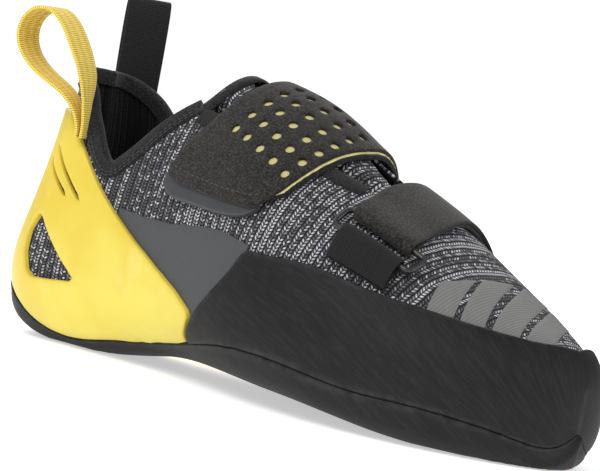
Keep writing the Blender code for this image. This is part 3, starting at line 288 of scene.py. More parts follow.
# Trough of the heel cup's fold and the low ridge beside it
CREASE_DEPTH = 0.0006
CREASE_REACH = 0.0016
RIDGE_HEIGHT = 0.0004
RIDGE_AWAY = 0.004
RIDGE_REACH = 0.003
# Folded edge bands: slack over and under the wall, and their thickness
BAND_OVER = 0.0001
BAND_UNDER = 0.0003
BAND_THICK = 0.0008
HOLE_FORWARD = 0.017
HOLE_DOWN = 0.012
# Line sewn across the strap's free end
STRAP_SEWING = [
    Edge(0.368, 0.640), Edge(0.400, 0.632), Edge(0.440, 0.629), Edge(0.480, 0.632), Edge(0.520, 0.648),
    Edge(0.533, 0.660),
]
# Lines sewn on the ring's anchor: girths, and shares of its width
ANCHOR_SEWING = (0.636, 0.690)
ANCHOR_CROSS = 0.672
ANCHOR_SIDES = (0.06, 0.94)
ANCHOR_SEWING_LIFT = 0.00505
# Lines sewn on the collar's band: distances from the edge, and lift
COLLAR_SEWING = (BINDING_WIDTH - 0.0022, BINDING_WIDTH - 0.0010)
COLLAR_SEWING_LIFT = WALL + 0.00095

# Mesh steps in metres: pieces, folded bands
FINE_STEP = 0.0026
BAND_STEP = 0.002
# No gap is needed where a piece is only seen from outside
TIGHT = 0.0001
CAMERA_AZIMUTH = 40.0
CAMERA_ELEVATION = 4.0
CAMERA_ROLL = 10.3
CAMERA_DISTANCE = 1.3
CAMERA_LENS = 224.4
CAMERA_AIM = (0.09, 0.0, 0.055)
FRAME_WIDTH_PX = 600
CAMERA_SHIFT_PX = (1.54, 4.62)
# Lights: metres to the camera's right, up, and towards the camera from the aim; size in metres; watts
Lamp = namedtuple("Lamp", "name right up back size power")
LAMPS = [
    Lamp("key", -0.55, 0.95, 0.75, (0.9, 0.7), 9.0),
    Lamp("fill", 1.10, 0.45, 0.50, (0.8, 0.8), 3.5),
    Lamp("rim", -0.30, 0.75, -0.90, (1.2, 0.4), 6.0),
]
# Strength of the white surroundings: as light, in reflections, and seen by the camera
SKY_LIGHT = 0.62
SKY_REFLECTED = 0.30
SKY_SEEN = 1.1
FLOOR_REACH = 40.0
FLOOR_DEPTH = 0.0002


class ShoeLook(PropertyGroup):
    """Sizes and colours of the shoe's finish."""

    rib_pitch: FloatProperty(
        name="Rib pitch", description="Distance between knitted ribs", default=0.0033, unit="LENGTH")
    stitch_row: FloatProperty(
        name="Knit row", description="Height of one knitted loop", default=0.0011, unit="LENGTH")
    edge_round: FloatProperty(
        name="Edge", description="Rounding of the rubber edges", default=0.0007, unit="LENGTH")
    sewing_pitch: FloatProperty(
        name="Stitch", description="Distance between sewn stitches", default=0.0026, unit="LENGTH")
    hole_sides: IntProperty(
        name="Hole sides", description="Facets round each punched hole", default=18, min=6)
    cup_colour: FloatVectorProperty(
        name="Heel cup", description="Colour of the heel cup", default=(0.71, 0.60, 0.080), subtype="COLOR")
    rubber_colour: FloatVectorProperty(
        name="Rubber", description="Colour of sole and rand", default=(0.0075, 0.0076, 0.0082),
        subtype="COLOR")
    web_colour: FloatVectorProperty(
        name="Webbing", description="Colour of the outer pull loop", default=(0.80, 0.59, 0.11),
        subtype="COLOR")
    knit_light: FloatVectorProperty(
        name="Light yarn", description="Light yarn of the knit", default=(0.62, 0.62, 0.66), subtype="COLOR")
    knit_dark: FloatVectorProperty(
        name="Dark yarn", description="Dark yarn of the knit", default=(0.009, 0.009, 0.011), subtype="COLOR")


def look():
    return bpy.context.scene.shoe_look


def share_to_u(share):
    return np.arccos(1 - 2 * np.clip(share, 0, 1)) / math.pi


def spline(knots, values, level_ends):
    """Cubic spline as a function; level_ends gives it no slope at both ends."""
    x = np.asarray(knots, float)
    y = np.asarray(values, float)
    count = len(x)
    step = np.diff(x)
    matrix = np.zeros((count, count))
    right = np.zeros(count)
    for i in range(1, count - 1):
        matrix[i, i - 1] = step[i - 1]
        matrix[i, i] = 2 * (step[i - 1] + step[i])
        matrix[i, i + 1] = step[i]
        right[i] = 6 * ((y[i + 1] - y[i]) / step[i] - (y[i] - y[i - 1]) / step[i - 1])
    if level_ends:
        matrix[0, 0] = 2 * step[0]
        matrix[0, 1] = step[0]
        right[0] = 6 * (y[1] - y[0]) / step[0]
        matrix[-1, -1] = 2 * step[-1]
        matrix[-1, -2] = step[-1]
        right[-1] = -6 * (y[-1] - y[-2]) / step[-1]
    else:
        matrix[0, 0] = 1
        matrix[-1, -1] = 1
    bend = np.linalg.solve(matrix, right)

    def value(t):
        t = np.clip(np.asarray(t, float), x[0], x[-1])
        i = np.clip(np.searchsorted(x, t) - 1, 0, count - 2)
        width = step[i]
        p = (x[i + 1] - t) / width
        q = (t - x[i]) / width
        curve = (p**3 - p) * bend[i] + (q**3 - q) * bend[i + 1]
        return p * y[i] + q * y[i + 1] + curve * width * width / 6

    return value


def section_functions():
    u = share_to_u(np.array([row.along for row in SECTIONS]))
    found = {}
    for name in Section._fields[1:]:
        values = [getattr(row, name) for row in SECTIONS]
        found[name] = spline(u, values, name not in ("lateral", "medial"))
    return found


SHAPE = section_functions()
LEAN = spline([row.height for row in BACK_LEAN], [row.forward for row in BACK_LEAN], False)


def surface(u, angle):
    """Point of the last: u 0 heel to 1 toe, angle -90 degrees under the foot, 0 inner side, 90 on top."""
    u, angle = np.broadcast_arrays(np.asarray(u, float), np.asarray(angle, float))
    across = np.cos(angle)
    upward = np.sin(angle)
    below = upward < 0
    power = 2 / np.where(below, SHAPE["low_power"](u), SHAPE["up_power"](u))
    centre = np.where(below, SHAPE["floor"](u), SHAPE["ridge"](u))
    side = np.where(across < 0, SHAPE["lateral"](u), SHAPE["medial"](u))
    y = centre + (side - centre) * np.abs(across) ** power
    widest = SHAPE["widest"](u)
    end = np.where(below, SHAPE["bottom"](u), SHAPE["top"](u))
    z = widest + (end - widest) * np.abs(upward) ** power
    fade = np.clip(1 - u / 0.5, 0, 1) ** 2
    x = (1 - np.cos(math.pi * u)) / 2 + LEAN(z) * fade
    return np.stack([x * LENGTH - HEEL_SEAT, y * BALL_WIDTH, z * INSTEP_HEIGHT], -1)


ROWS = 241
TURNS = 721
MARKS = 201


def girth_tables():
    """Angle for an even walk round each section, inner side and outer side, from sole to top."""
    u = np.linspace(0, 1, ROWS)
    angle = np.radians(np.linspace(-90, 270, TURNS))
    points = surface(u[:, None], angle[None, :])
    steps = np.linalg.norm(np.diff(points, axis=1), axis=2) + 1e-9
    half = TURNS // 2
    start = np.zeros((ROWS, 1))
    inner = np.concatenate([start, np.cumsum(steps[:, :half], 1)], 1)
    outer = np.concatenate([start, np.cumsum(steps[:, half:][:, ::-1], 1)], 1)
    marks = np.linspace(0, 1, MARKS)
    up = angle[: half + 1]
    down = angle[half:][::-1]
    inner_angle = np.empty((ROWS, MARKS))
    outer_angle = np.empty((ROWS, MARKS))
    for i in range(ROWS):
        inner_angle[i] = np.interp(marks, inner[i] / inner[i, -1], up)
        outer_angle[i] = np.interp(marks, outer[i] / outer[i, -1], down)
    return inner_angle, outer_angle


INNER_ANGLE, OUTER_ANGLE = girth_tables()


def angle_of(u, w):
    """w runs round the foot: 0 under the middle, 1 on top by the inner side, 2 - g on the outer side."""
    u, w = np.broadcast_arrays(np.asarray(u, float), np.asarray(w, float))
    turned = (w + 1) % 2 - 1
    girth = np.abs(turned) * (MARKS - 1)
    row = np.clip(u, 0, 1) * (ROWS - 1)
    i = np.clip(row.astype(int), 0, ROWS - 2)
    j = np.clip(girth.astype(int), 0, MARKS - 2)
    a = row - i
    b = girth - j

    def look(table):
        low = (1 - b) * table[i, j] + b * table[i, j + 1]
        high = (1 - b) * table[i + 1, j] + b * table[i + 1, j + 1]
        return (1 - a) * low + a * high

    return np.where(turned < 0, look(OUTER_ANGLE), look(INNER_ANGLE))


def place(u, w, lift=0.0):
    """Point at a distance from the last's surface along its outward normal."""
    u, w, lift = np.broadcast_arrays(np.asarray(u, float), np.asarray(w, float), np.asarray(lift, float))
    angle = angle_of(u, w)
    small = 1e-3
    inside = np.clip(u, 2 * small, 1 - 2 * small)
    along = surface(inside + small, angle) - surface(inside - small, angle)
    around = surface(inside, angle + small) - surface(inside, angle - small)
    normal = np.cross(around, along)
    normal[..., 1] = np.where((u < 1e-9) | (u > 1 - 1e-9), 0.0, normal[..., 1])
    normal /= np.linalg.norm(normal, axis=-1, keepdims=True) + 1e-15
    return surface(u, angle) + normal * lift[..., None]


def girth_at_height(u, height, outer):
    """Girth share on the upper half of a section where it stands at a height (share of INSTEP_HEIGHT)."""
    girth = np.linspace(0.25, 1.0, 400)
    w = 2 - girth if outer else girth
    z = place(np.full(400, u), w)[:, 2]
    return float(np.interp(height * INSTEP_HEIGHT, z, girth))


def rows_to_path(rows, outer=False, centre=1, shrink=0.0):
    """(u, w) points of a table; centre 1 walks over the top, centre 0 under the sole."""
    path = []
    for row in rows:
        girth = row.girth + shrink
        if centre == 1:
            w = 2 - girth if outer else girth
        else:
            w = -girth if outer else girth
        path.append((float(share_to_u(row.along)), w))
    return path


def split_knots(knots, parts):
    """The knots with even ones between them, so that each stretch has so many parts."""
    stretches = [np.linspace(a, b, parts, endpoint=False) for a, b in zip(knots[:-1], knots[1:])]
    return np.concatenate(stretches + [[knots[-1]]])


def smooth_path(path, parts=4):
    """Rounder line through the points, by a centripetal walk between neighbours."""
    points = np.array(path, float)
    scaled = points * [LONG_SCALE, HALF_GIRTH]
    steps = np.maximum(np.linalg.norm(np.diff(scaled, axis=0), axis=1), 1e-6)
    knots = np.concatenate([[0], np.cumsum(steps ** 0.5)])
    along = spline(knots, points[:, 0], False)
    around = spline(knots, points[:, 1], False)
    t = split_knots(knots, parts)
    return [(float(a), float(b)) for a, b in zip(along(t), around(t))]


def on_frame(a, b):
    """True where an edge lies on a border of the (u, w) sheet, which is split by itself."""
    same_u = abs(a[0] - b[0]) < 1e-9 and (a[0] < 1e-9 or a[0] > 1 - 1e-9)
    same_w = abs(a[1] - b[1]) < 1e-9 and (a[1] < 1e-9 or a[1] > 2 - 1e-9)
    return same_u or same_w


def resample(loop, step):
    """Split a closed loop of (u, w) so that no edge is longer than step metres, corners kept."""
    points = []
    for a, b in zip(loop, loop[1:] + loop[:1]):
        length = math.hypot((b[0] - a[0]) * LONG_SCALE, (b[1] - a[1]) * HALF_GIRTH)
        parts = 1 if on_frame(a, b) else max(1, math.ceil(length / step - 1e-6))
        for i in range(parts):
            points.append((a[0] + (b[0] - a[0]) * i / parts, a[1] + (b[1] - a[1]) * i / parts))
    return points


def inside_loops(points, loops):
    """Crossing test of many points against loops; a loop inside another is a hole."""
    inside = np.zeros(len(points), bool)
    for loop in loops:
        a = np.array(loop)
        b = np.roll(a, -1, axis=0)
        for (xa, ya), (xb, yb) in zip(a, b):
            if ya == yb:
                continue
            crosses = (points[:, 1] < ya) != (points[:, 1] < yb)
            x = xa + (points[:, 1] - ya) * (xb - xa) / (yb - ya)
            inside ^= crosses & (points[:, 0] < x)
    return inside


def edge_distance(points, starts, ends):
    nearest = np.full(len(points), np.inf)
    for start, end in zip(starts, ends):
        d = end - start
        t = np.clip(((points - start) @ d) / max(d @ d, 1e-18), 0, 1)
        nearest = np.minimum(nearest, np.linalg.norm(points - start - t[:, None] * d, axis=1))
    return nearest


def split_marks(marks, step):
    """Marks with even ones added between them, no further apart than step."""
    marks = sorted(marks)
    kept = [marks[0]]
    for mark in marks[1:]:
        if mark - kept[-1] > 1e-4:
            kept.append(mark)
    line = []
    for a, b in zip(kept[:-1], kept[1:]):
        parts = max(1, math.ceil((b - a) / step - 1e-6))
        line += [a + (b - a) * i / parts for i in range(parts)]
    return line + [kept[-1]]


def sheet(loops, step, whole=True):
    """One net of triangles over the surface that follows every loop, so that pieces laid over
    each other share their facets. whole adds the borders of the full (u, w) sheet."""
    scale = np.array([LONG_SCALE, HALF_GIRTH])
    points = []
    number = {}
    edges = set()

    def add(point):
        key = (round(point[0], 6), round(point[1], 6))
        if key not in number:
            number[key] = len(points)
            points.append(point)
        return number[key]

    def join(a, b):
        i, j = add(a), add(b)
        if i != j:
            edges.add((min(i, j), max(i, j)))

    rings = [resample(loop, step) for loop in loops]
    if whole:
        for end in (0.0, 1.0):
            marks = {0.0, 1.0, 2.0}
            for ring in rings:
                for u, w in ring:
                    if abs(u - end) < 1e-9:
                        marks.update((w, 2 - w))
            line = split_marks(marks, step / HALF_GIRTH)
            for a, b in zip(line[:-1], line[1:]):
                join((end, a), (end, b))
        marks = {0.0, 1.0}
        for ring in rings:
            marks.update(u for u, w in ring if abs(w) < 1e-9 or abs(w - 2) < 1e-9)
        line = split_marks(marks, step / LONG_SCALE)
        for a, b in zip(line[:-1], line[1:]):
            join((a, 0.0), (b, 0.0))
            join((a, 2.0), (b, 2.0))
    for ring in rings:
        for a, b in zip(ring, ring[1:] + ring[:1]):
            if not (whole and on_frame(a, b)):
                join(a, b)
    flat = np.array(points) * scale
    starts = flat[[i for i, j in edges]]
    ends = flat[[j for i, j in edges]]
    low, high = flat.min(0), flat.max(0)
    across = np.arange(low[0] + step / 2, high[0], step)
    around = np.arange(low[1] + step / 2, high[1], step)
    grid = np.stack(np.meshgrid(across, around, indexing="ij"), -1).reshape(-1, 2)
    if whole:
        folds = [(abs(end - 0.6 * step / LONG_SCALE), turn + side * 0.45 * step / HALF_GIRTH)
                 for end in (0, 1) for turn, side in ((0, 1), (1, -1), (1, 1), (2, -1))]
        folds = np.array(folds) * scale
        apart = np.linalg.norm(grid[:, None, :] - folds[None, :, :], axis=2).min(1)
        grid = grid[apart > 0.7 * step]
        grid = np.concatenate([folds, grid[edge_distance(grid, starts, ends) > step * 0.5]])
    else:
        grid = grid[edge_distance(grid, starts, ends) > step * 0.5]
    made = delaunay_2d_cdt([Vector(p) for p in np.concatenate([flat, grid])], sorted(edges), [], 0, 1e-7)
    flat = np.array([tuple(p) for p in made[0]])
    faces = np.array([tuple(f) for f in made[2]])
    a, b, c = flat[faces[:, 0]], flat[faces[:, 1]], flat[faces[:, 2]]
    area = (b[:, 0] - a[:, 0]) * (c[:, 1] - a[:, 1]) - (b[:, 1] - a[:, 1]) * (c[:, 0] - a[:, 0])
    faces[area < 0] = faces[area < 0][:, ::-1]
    return flat / scale, faces[np.abs(area) > 1e-11]


def weld(flat, faces):
    """Join the sheet's two halves at the back line (u 0), the toe line (u 1) and under the foot."""
    target = np.arange(len(flat))
    for i, (u, w) in enumerate(flat):
        twin = w
        if abs(u) < 1e-6 or abs(u - 1) < 1e-6:
            twin = min(w, 2 - w)
        elif abs(w - 2) < 1e-6:
            twin = 0.0
        if twin != w:
            apart = np.abs(flat[:, 0] - u) + np.abs(flat[:, 1] - twin)
            nearest = int(np.argmin(apart))
            if apart[nearest] < 1e-4:
                target[i] = nearest
    faces = target[faces]
    used, faces = np.unique(faces, return_inverse=True)
    return flat[used], faces.reshape(-1, 3)


def border_edges(faces):
    count = {}
    for a, b, c in faces:
        for edge in ((a, b), (b, c), (c, a)):
            count[edge] = count.get(edge, 0) + 1
    return [edge for edge in count if (edge[1], edge[0]) not in count]


def unit(vectors):
    return vectors / (np.linalg.norm(vectors, axis=-1, keepdims=True) + 1e-15)


def edge_function(rows):
    """Girth share as a function of u for a table whose along column grows."""
    u = share_to_u(np.array([row.along for row in rows]))
    return spline(u, [row.girth for row in rows], False)


def mirror(path):
    return [(u, 2 - w) for u, w in path]


def sole_line(count=38):
    """Edge of the outsole on the inner side, from the heel to the toe."""
    edge = edge_function(SOLE_EDGE)
    return [(float(u), float(edge(u))) for u in np.linspace(0, 1, count + 1)]


def sole_region():
    half = sole_line() + [(1.0, 0.0), (0.0, 0.0)]
    return [half, mirror(half)]


def sole_high(u, w):
    """Outer lift of the sole: full underneath, thinned to the rand's level along its border."""
    share = (1 - np.cos(math.pi * u)) / 2
    edge = np.interp(share, [row.along for row in SOLE_EDGE], [row.girth for row in SOLE_EDGE])
    inward = np.clip((edge - np.minimum(w, 2 - w)) * HALF_GIRTH / SOLE_BEVEL, 0, 1)
    return OUTSIDE + SOLE_THICK - SOLE_TAPER * (1 - inward * inward * (3 - 2 * inward))


def insole_region():
    half = [(0.0, UNDER), (1.0, UNDER), (1.0, 0.0), (0.0, 0.0)]
    return [half, mirror(half)]


def rand_region():
    """C-shaped band: up the outer side, round the toe and back along the inner side."""
    start = float(share_to_u(RAND_REAR[0].along))
    low = [point for point in sole_line() if point[0] > start]
    rear = smooth_path(rows_to_path(RAND_REAR), 2)
    side = rows_to_path(RAND_TOP)
    toe = (float(share_to_u(0.9775)), 1.0)
    top = smooth_path(side + [toe] + mirror(side)[::-1], 2)
    return [[low[0]] + rear + top[1:-1] + mirror(rear)[::-1] + mirror(low) + [(1.0, 1.0)] + low[1:][::-1]]


def cup_region():
    """Heel cup, inner and outer half: from the sole up to a tab at the back, joined at the back line."""
    end = float(share_to_u(CUP_FRONT[-1].along))
    low = [point for point in sole_line() if point[0] < end]
    front = smooth_path(rows_to_path(CUP_FRONT), 2)
    top = smooth_path(rows_to_path(CUP_TOP), 2)
    half = top[:-1] + front + low[::-1]
    return [half, mirror(half)]


def slit_loop(slit, outer):
    path = rows_to_path([Edge(slit.along_top, slit.girth_top), Edge(slit.along_low, slit.girth_low)], outer)
    (ua, wa), (ub, wb) = path
    dx, dy = (ub - ua) * LONG_SCALE, (wb - wa) * HALF_GIRTH
    length = math.hypot(dx, dy)
    nx, ny = -dy / length * slit.width / 2, dx / length * slit.width / 2
    side = (nx / LONG_SCALE, ny / HALF_GIRTH)
    return [(ua, wa), (ua + side[0] + (ub - ua) * 0.08, wa + side[1] + (wb - wa) * 0.08),
            (ub + side[0] - (ub - ua) * 0.08, wb + side[1] - (wb - wa) * 0.08), (ub, wb),
            (ub - side[0] - (ub - ua) * 0.08, wb - side[1] - (wb - wa) * 0.08),
            (ua - side[0] + (ub - ua) * 0.08, wa - side[1] + (wb - wa) * 0.08)]


def film_region(outer):
    """Coated film on the side; the heel cup, the rand and the sole are taken out of it."""
    path = rows_to_path(FILM_TOP) + [(float(share_to_u(0.545)), 0.30), (float(share_to_u(0.445)), 0.18)]
    path += [(float(share_to_u(0.30)), 0.30)]
    return [mirror(path) if outer else path]


def rim_path():
    """Collar rim from the outer throat corner round the heel to the inner throat corner."""
    outer = [(float(share_to_u(r.along)), 2 - girth_at_height(float(share_to_u(r.along)), r.height, True))
             for r in RIM_OUTER]
    inner = [(float(share_to_u(r.along)), girth_at_height(float(share_to_u(r.along)), r.height, False))
             for r in RIM_INNER]
    return outer, inner


def upper_loop():
    """Whole knit upper: rim at the back, throat in front, feather line under the foot."""
    rim, back = collar_path()
    throat = smooth_path(rows_to_path(THROAT, True), 2)
    loop = [(0.0, UNDER), (1.0, UNDER), (1.0, 1.0), (1.0, 2 - UNDER), (0.0, 2 - UNDER)]
    loop += rim[: back + 1][::-1] + throat + mirror(throat)[::-1]
    return loop + rim[back + 1:][::-1] + mirror([rim[back]])


def tongue_loop():
    outer = rows_to_path(TONGUE_EDGE, True)
    inner = [(a, 2 - w) for a, w in outer]
    return outer + inner[::-1]


def throat_half_width(u):
    edge = edge_function(THROAT)
    return 1 - edge(u)


def tongue_high(u, w):
    """The tongue fills the throat and sinks where the upper's edges lie over it."""
    spare = (throat_half_width(u) - np.abs(w - 1)) * HALF_GIRTH
    front = (float(share_to_u(0.672)) - u) * LONG_SCALE
    rise = np.clip((np.minimum(spare, front) - TONGUE_MARGIN) / TONGUE_RISE, 0, 1)
    rise = rise * rise * (3 - 2 * rise)
    return TONGUE_SUNK + rise * (TONGUE_HIGH - TONGUE_SUNK)


def tongue_low(u, w):
    return tongue_high(u, w) - (TONGUE_HIGH - TONGUE_LOW)


def strap_loop(end, grow=0.0):
    """Region of the instep strap above its free end; grow widens it for the lining whose edge shows."""
    more = grow / LONG_SCALE
    above = max(row.girth for row in end)
    rear_rows = [row for row in STRAP_REAR if row.girth > above]
    front_rows = [row for row in STRAP_FRONT if row.girth > above]
    rear = smooth_path([(a - more, 2 - g) for a, g in strap_rows(rear_rows)], 2)
    front = smooth_path([(a + more, 2 - g) for a, g in strap_rows(front_rows)], 2)
    return [(a, 2 - g) for a, g in strap_rows(end)] + rear + front[::-1]


def strap_rows(rows):
    return [(float(share_to_u(row.along)), row.girth) for row in rows]


def fold_path(stations, end_high, bar_lift, radius, low_lift, high_lift, side):
    """Walk along the lower layer to a bar, round it, and back along the upper layer. stations are
    the girths of both layers, the bar last; side is the way, along the girth, round the bar."""
    bar_girth = stations[-1]
    reach = 0.012 / HALF_GIRTH

    def near_bar(girth):
        near = min(max(1 - abs(bar_girth - girth) / reach, 0), 1)
        return near * near * (3 - 2 * near)

    path = []
    for girth in stations:
        path.append((girth, low_lift + (bar_lift - radius - low_lift) * near_bar(girth)))
    for turn in (36, 72, 108, 144):
        angle = math.radians(turn)
        girth = bar_girth + side * radius * math.sin(angle) / HALF_GIRTH
        path.append((girth, bar_lift - radius * math.cos(angle)))
    for girth in stations[::-1]:
        if (girth - end_high) * (bar_girth - end_high) >= 0:
            path.append((girth, high_lift + (bar_lift + radius - high_lift) * near_bar(girth)))
    return path


def smooth_curve(path, parts=4):
    """Rounder line through plain points, by a centripetal walk between neighbours."""
    points = np.array(path, float)
    knots = np.concatenate([[0], np.cumsum(np.linalg.norm(np.diff(points, axis=0), axis=1) ** 0.5)])
    x = spline(knots, points[:, 0], False)
    y = spline(knots, points[:, 1], False)
    t = split_knots(knots, parts)
    return list(zip(x(t), y(t)))


def collar_path():
    """Collar edge from the outer throat corner round the heel; also the index of the back point."""
    outer, inner = rim_path()
    outer = smooth_path(outer, 4)
    inner = smooth_path(inner, 4)
    return outer[::-1] + inner[1:], len(outer) - 1


def surface_steps(points, directions, distance):
    """(u, w) points reached by walking a distance over the surface in directions given in space."""
    small = 1e-4
    u, w = points.T
    base = np.clip(u, 0.02, 0.98)
    du = (place(base + small, w) - place(base - small, w)) / (2 * small)
    dw = (place(base, w + small) - place(base, w - small)) / (2 * small)
    a, b, c = (du * du).sum(1), (du * dw).sum(1), (dw * dw).sum(1)
    e, f = (du * directions).sum(1), (dw * directions).sum(1)
    spread = a * c - b * b
    along = u + distance * (c * e - b * f) / spread
    around = w + distance * (a * f - b * e) / spread
    fixed = (u < 1e-6) | (u > 1 - 1e-6)
    return np.stack([np.where(fixed, u, np.clip(along, 1e-4, 1 - 1e-4)), around], 1)


def inward_ways(flat, borders):
    """For each border point of a region: its number, and the way into the region on the surface."""
    edges = np.array(borders)
    a, b = flat[edges[:, 0]], flat[edges[:, 1]]
    middle = (a + b) / 2
    run = place(a[:, 0], a[:, 1]) - place(b[:, 0], b[:, 1])
    normal = place(middle[:, 0], middle[:, 1], 0.001) - place(middle[:, 0], middle[:, 1])
    into = unit(np.cross(unit(normal), unit(run)))
    total = np.zeros((len(flat), 3))
    np.add.at(total, edges[:, 0], into)
    np.add.at(total, edges[:, 1], into)
    ids = np.unique(edges)
    ways = unit(total[ids])
    share = np.linalg.norm(total[ids], axis=1) / 2
    return ids, ways / np.clip(share, 0.45, 1)[:, None]


def girth_lengths():
    """Half girth of the foot form at each row, and length along it, for the cloth's own map."""
    u = np.linspace(0, 1, 121)
    marks = np.linspace(0, 1, 41)
    points = place(u[:, None], marks[None, :])
    half = np.linalg.norm(np.diff(points, axis=1), axis=2).sum(1)
    middle = place(u, 0.55)
    run = np.concatenate([[0], np.cumsum(np.linalg.norm(np.diff(middle, axis=0), axis=1))])
    return u, half, run


MAP_U, MAP_HALF, MAP_RUN = girth_lengths()


def cloth_map(flat):
    """Place on the flat cloth, in metres, of (u, w) points."""
    along = np.interp(flat[..., 0], MAP_U, MAP_RUN)
    around = (flat[..., 1] - 1) * np.interp(flat[..., 0], MAP_U, MAP_HALF)
    return np.stack([along, around], -1)


def new_piece(name, points, faces, uvs, material, edge=None, inner=0):
    """Mesh object with a cloth map; edge is each point's nearness to the piece's border, 0 to 1.
    The first points, as many as inner says, lie on the inside of the shoe."""
    mesh = bpy.data.meshes.new(name)
    corners = [tuple(int(i) for i in face) for face in faces]
    mesh.from_pydata(np.asarray(points, float).tolist(), [], corners)
    layer = mesh.uv_layers.new(name="Cloth")
    layer.data.foreach_set("uv", np.asarray(uvs, np.float32).ravel())
    values = np.zeros(len(points), np.float32) if edge is None else np.asarray(edge, np.float32)
    mesh.attributes.new("Border", "FLOAT", "POINT").data.foreach_set("value", values)
    hidden = (np.arange(len(points)) < inner).astype(np.float32)
    mesh.attributes.new("Inside", "FLOAT", "POINT").data.foreach_set("value", hidden)
    mesh.materials.append(material)
    mesh.update()
    mesh.shade_smooth()
    mesh.set_sharp_from_angle(angle=math.radians(48))
    item = bpy.data.objects.new(name, mesh)
    bpy.context.collection.objects.link(item)
    return item


def dress(item, node):
    """The piece stands for a node of the frame and moves with the shoe."""
    if node:
        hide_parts(node)
    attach(item, "root")
    return item


def shell(name, material, net, loops, lift, without=(), floor=None, gap=GAP, rounding=0.0004, extra=None):
    """Closed solid between two lifts over a region of the net, with a rounded outer border.
    extra adds to the outer lift at (u, w) points."""
    flat, faces = net
    middle = flat[faces].mean(axis=1)
    chosen = inside_loops(middle, loops)
    for other in without:
        chosen &= ~inside_loops(middle, other)
    corners = flat[faces[chosen]]
    flat, faces = weld(flat, faces[chosen])
    borders = border_edges(faces)
    ids, ways = inward_ways(flat, borders)
    snapped = np.where(flat[:, 0] < 1e-6, 0.0, np.where(flat[:, 0] > 1 - 1e-6, 1.0, flat[:, 0]))
    flat = np.stack([snapped, flat[:, 1]], 1)
    low = lift.low(*flat.T) if callable(lift.low) else np.full(len(flat), lift.low)
    high = lift.high(*flat.T) if callable(lift.high) else np.full(len(flat), lift.high)
    if extra is not None:
        high = high + extra(*flat.T)
    rounding = np.minimum(rounding, (high - low) * 0.45)
    scaled = flat * [LONG_SCALE, HALF_GIRTH]
    ends = np.array(borders)
    edge = 1 - np.clip(edge_distance(scaled, scaled[ends[:, 0]], scaled[ends[:, 1]]) / 0.005, 0, 1)

    def lay(inset, drop, top):
        """Every point of the region, its border points drawn in, at a depth below the outer face."""
        moved = flat.copy()
        moved[ids] = surface_steps(flat[ids], ways, gap / 2 + (inset * rounding)[ids])
        points = place(moved[:, 0], moved[:, 1], high - drop * rounding if top else low)
        if floor is not None and top:
            points[:, 2] = np.maximum(points[:, 2], floor)
        return points

    inner = lay(0, 0, False)
    wall = [lay(0, 1, True)[ids], lay(0.29, 0.29, True)[ids]]
    outer = lay(1, 0, True)
    count, rim = len(flat), len(ids)
    points = np.concatenate([inner, *wall, outer])
    number = {int(i): k for k, i in enumerate(ids)}
    solid = [tuple(face) for face in faces]
    solid += [(a + count + 2 * rim, c + count + 2 * rim, b + count + 2 * rim) for a, b, c in faces]
    uvs = [cloth_map(corners).reshape(-1, 2), cloth_map(corners[:, [0, 2, 1]]).reshape(-1, 2)]
    side = []
    for a, b in borders:
        p, q = number[int(a)], number[int(b)]
        rows = [(a, b), (count + p, count + q), (count + rim + p, count + rim + q),
                (count + 2 * rim + a, count + 2 * rim + b)]
        for (a0, b0), (a1, b1) in zip(rows[:-1], rows[1:]):
            solid.append((b0, a0, a1, b1))
            side += [flat[b], flat[a], flat[a], flat[b]]
    uvs.append(cloth_map(np.array(side)))
    near = np.concatenate([edge, edge[ids], edge[ids], edge])
    return new_piece(name, points, solid, np.concatenate(uvs), material, near, count)


def sweep(name, material, rings, closed=False):
    """Closed solid through rings of points, mapped by its length and by the way round it."""
    rings = np.asarray(rings, float)
    count, size = rings.shape[:2]
    centre = rings.mean(axis=1)
    ahead = np.linalg.norm(np.diff(centre, axis=0), axis=1)
    run = np.concatenate([[0], np.cumsum(ahead)])
    if closed:
        run = np.append(run, run[-1] + np.linalg.norm(centre[0] - centre[-1]))
    turn = np.linalg.norm(np.diff(np.vstack([rings[0], rings[0][:1]]), axis=0), axis=1)
    turn = np.concatenate([[0], np.cumsum(turn)])
    points = rings.reshape(-1, 3)
    faces, uvs = [], []
    for i in range(count if closed else count - 1):
        k = (i + 1) % count
        for j in range(size):
            n = (j + 1) % size
            faces.append((i * size + j, i * size + n, k * size + n, k * size + j))
            ahead, here = run[i + 1], run[i]
            uvs += [(here, turn[j]), (here, turn[j + 1]), (ahead, turn[j + 1]), (ahead, turn[j])]
    if not closed:
        last = (count - 1) * size
        faces += [tuple(reversed(range(size))), tuple(last + j for j in range(size))]
        uvs += [(0, turn[j]) for j in reversed(range(size))] + [(run[-1], turn[j]) for j in range(size)]
    volume = 0.0
    for face in faces:
        for j in range(1, len(face) - 1):
            a, b, c = points[face[0]], points[face[j]], points[face[j + 1]]
            volume += float(np.dot(a, np.cross(b, c)))
    if volume < 0:
        sizes = [len(face) for face in faces]
        starts = np.concatenate([[0], np.cumsum(sizes)[:-1]])
        uvs = [uvs[s + j] for s, size_of in zip(starts, sizes) for j in reversed(range(size_of))]
        faces = [tuple(reversed(face)) for face in faces]
    return new_piece(name, points, faces, uvs, material)


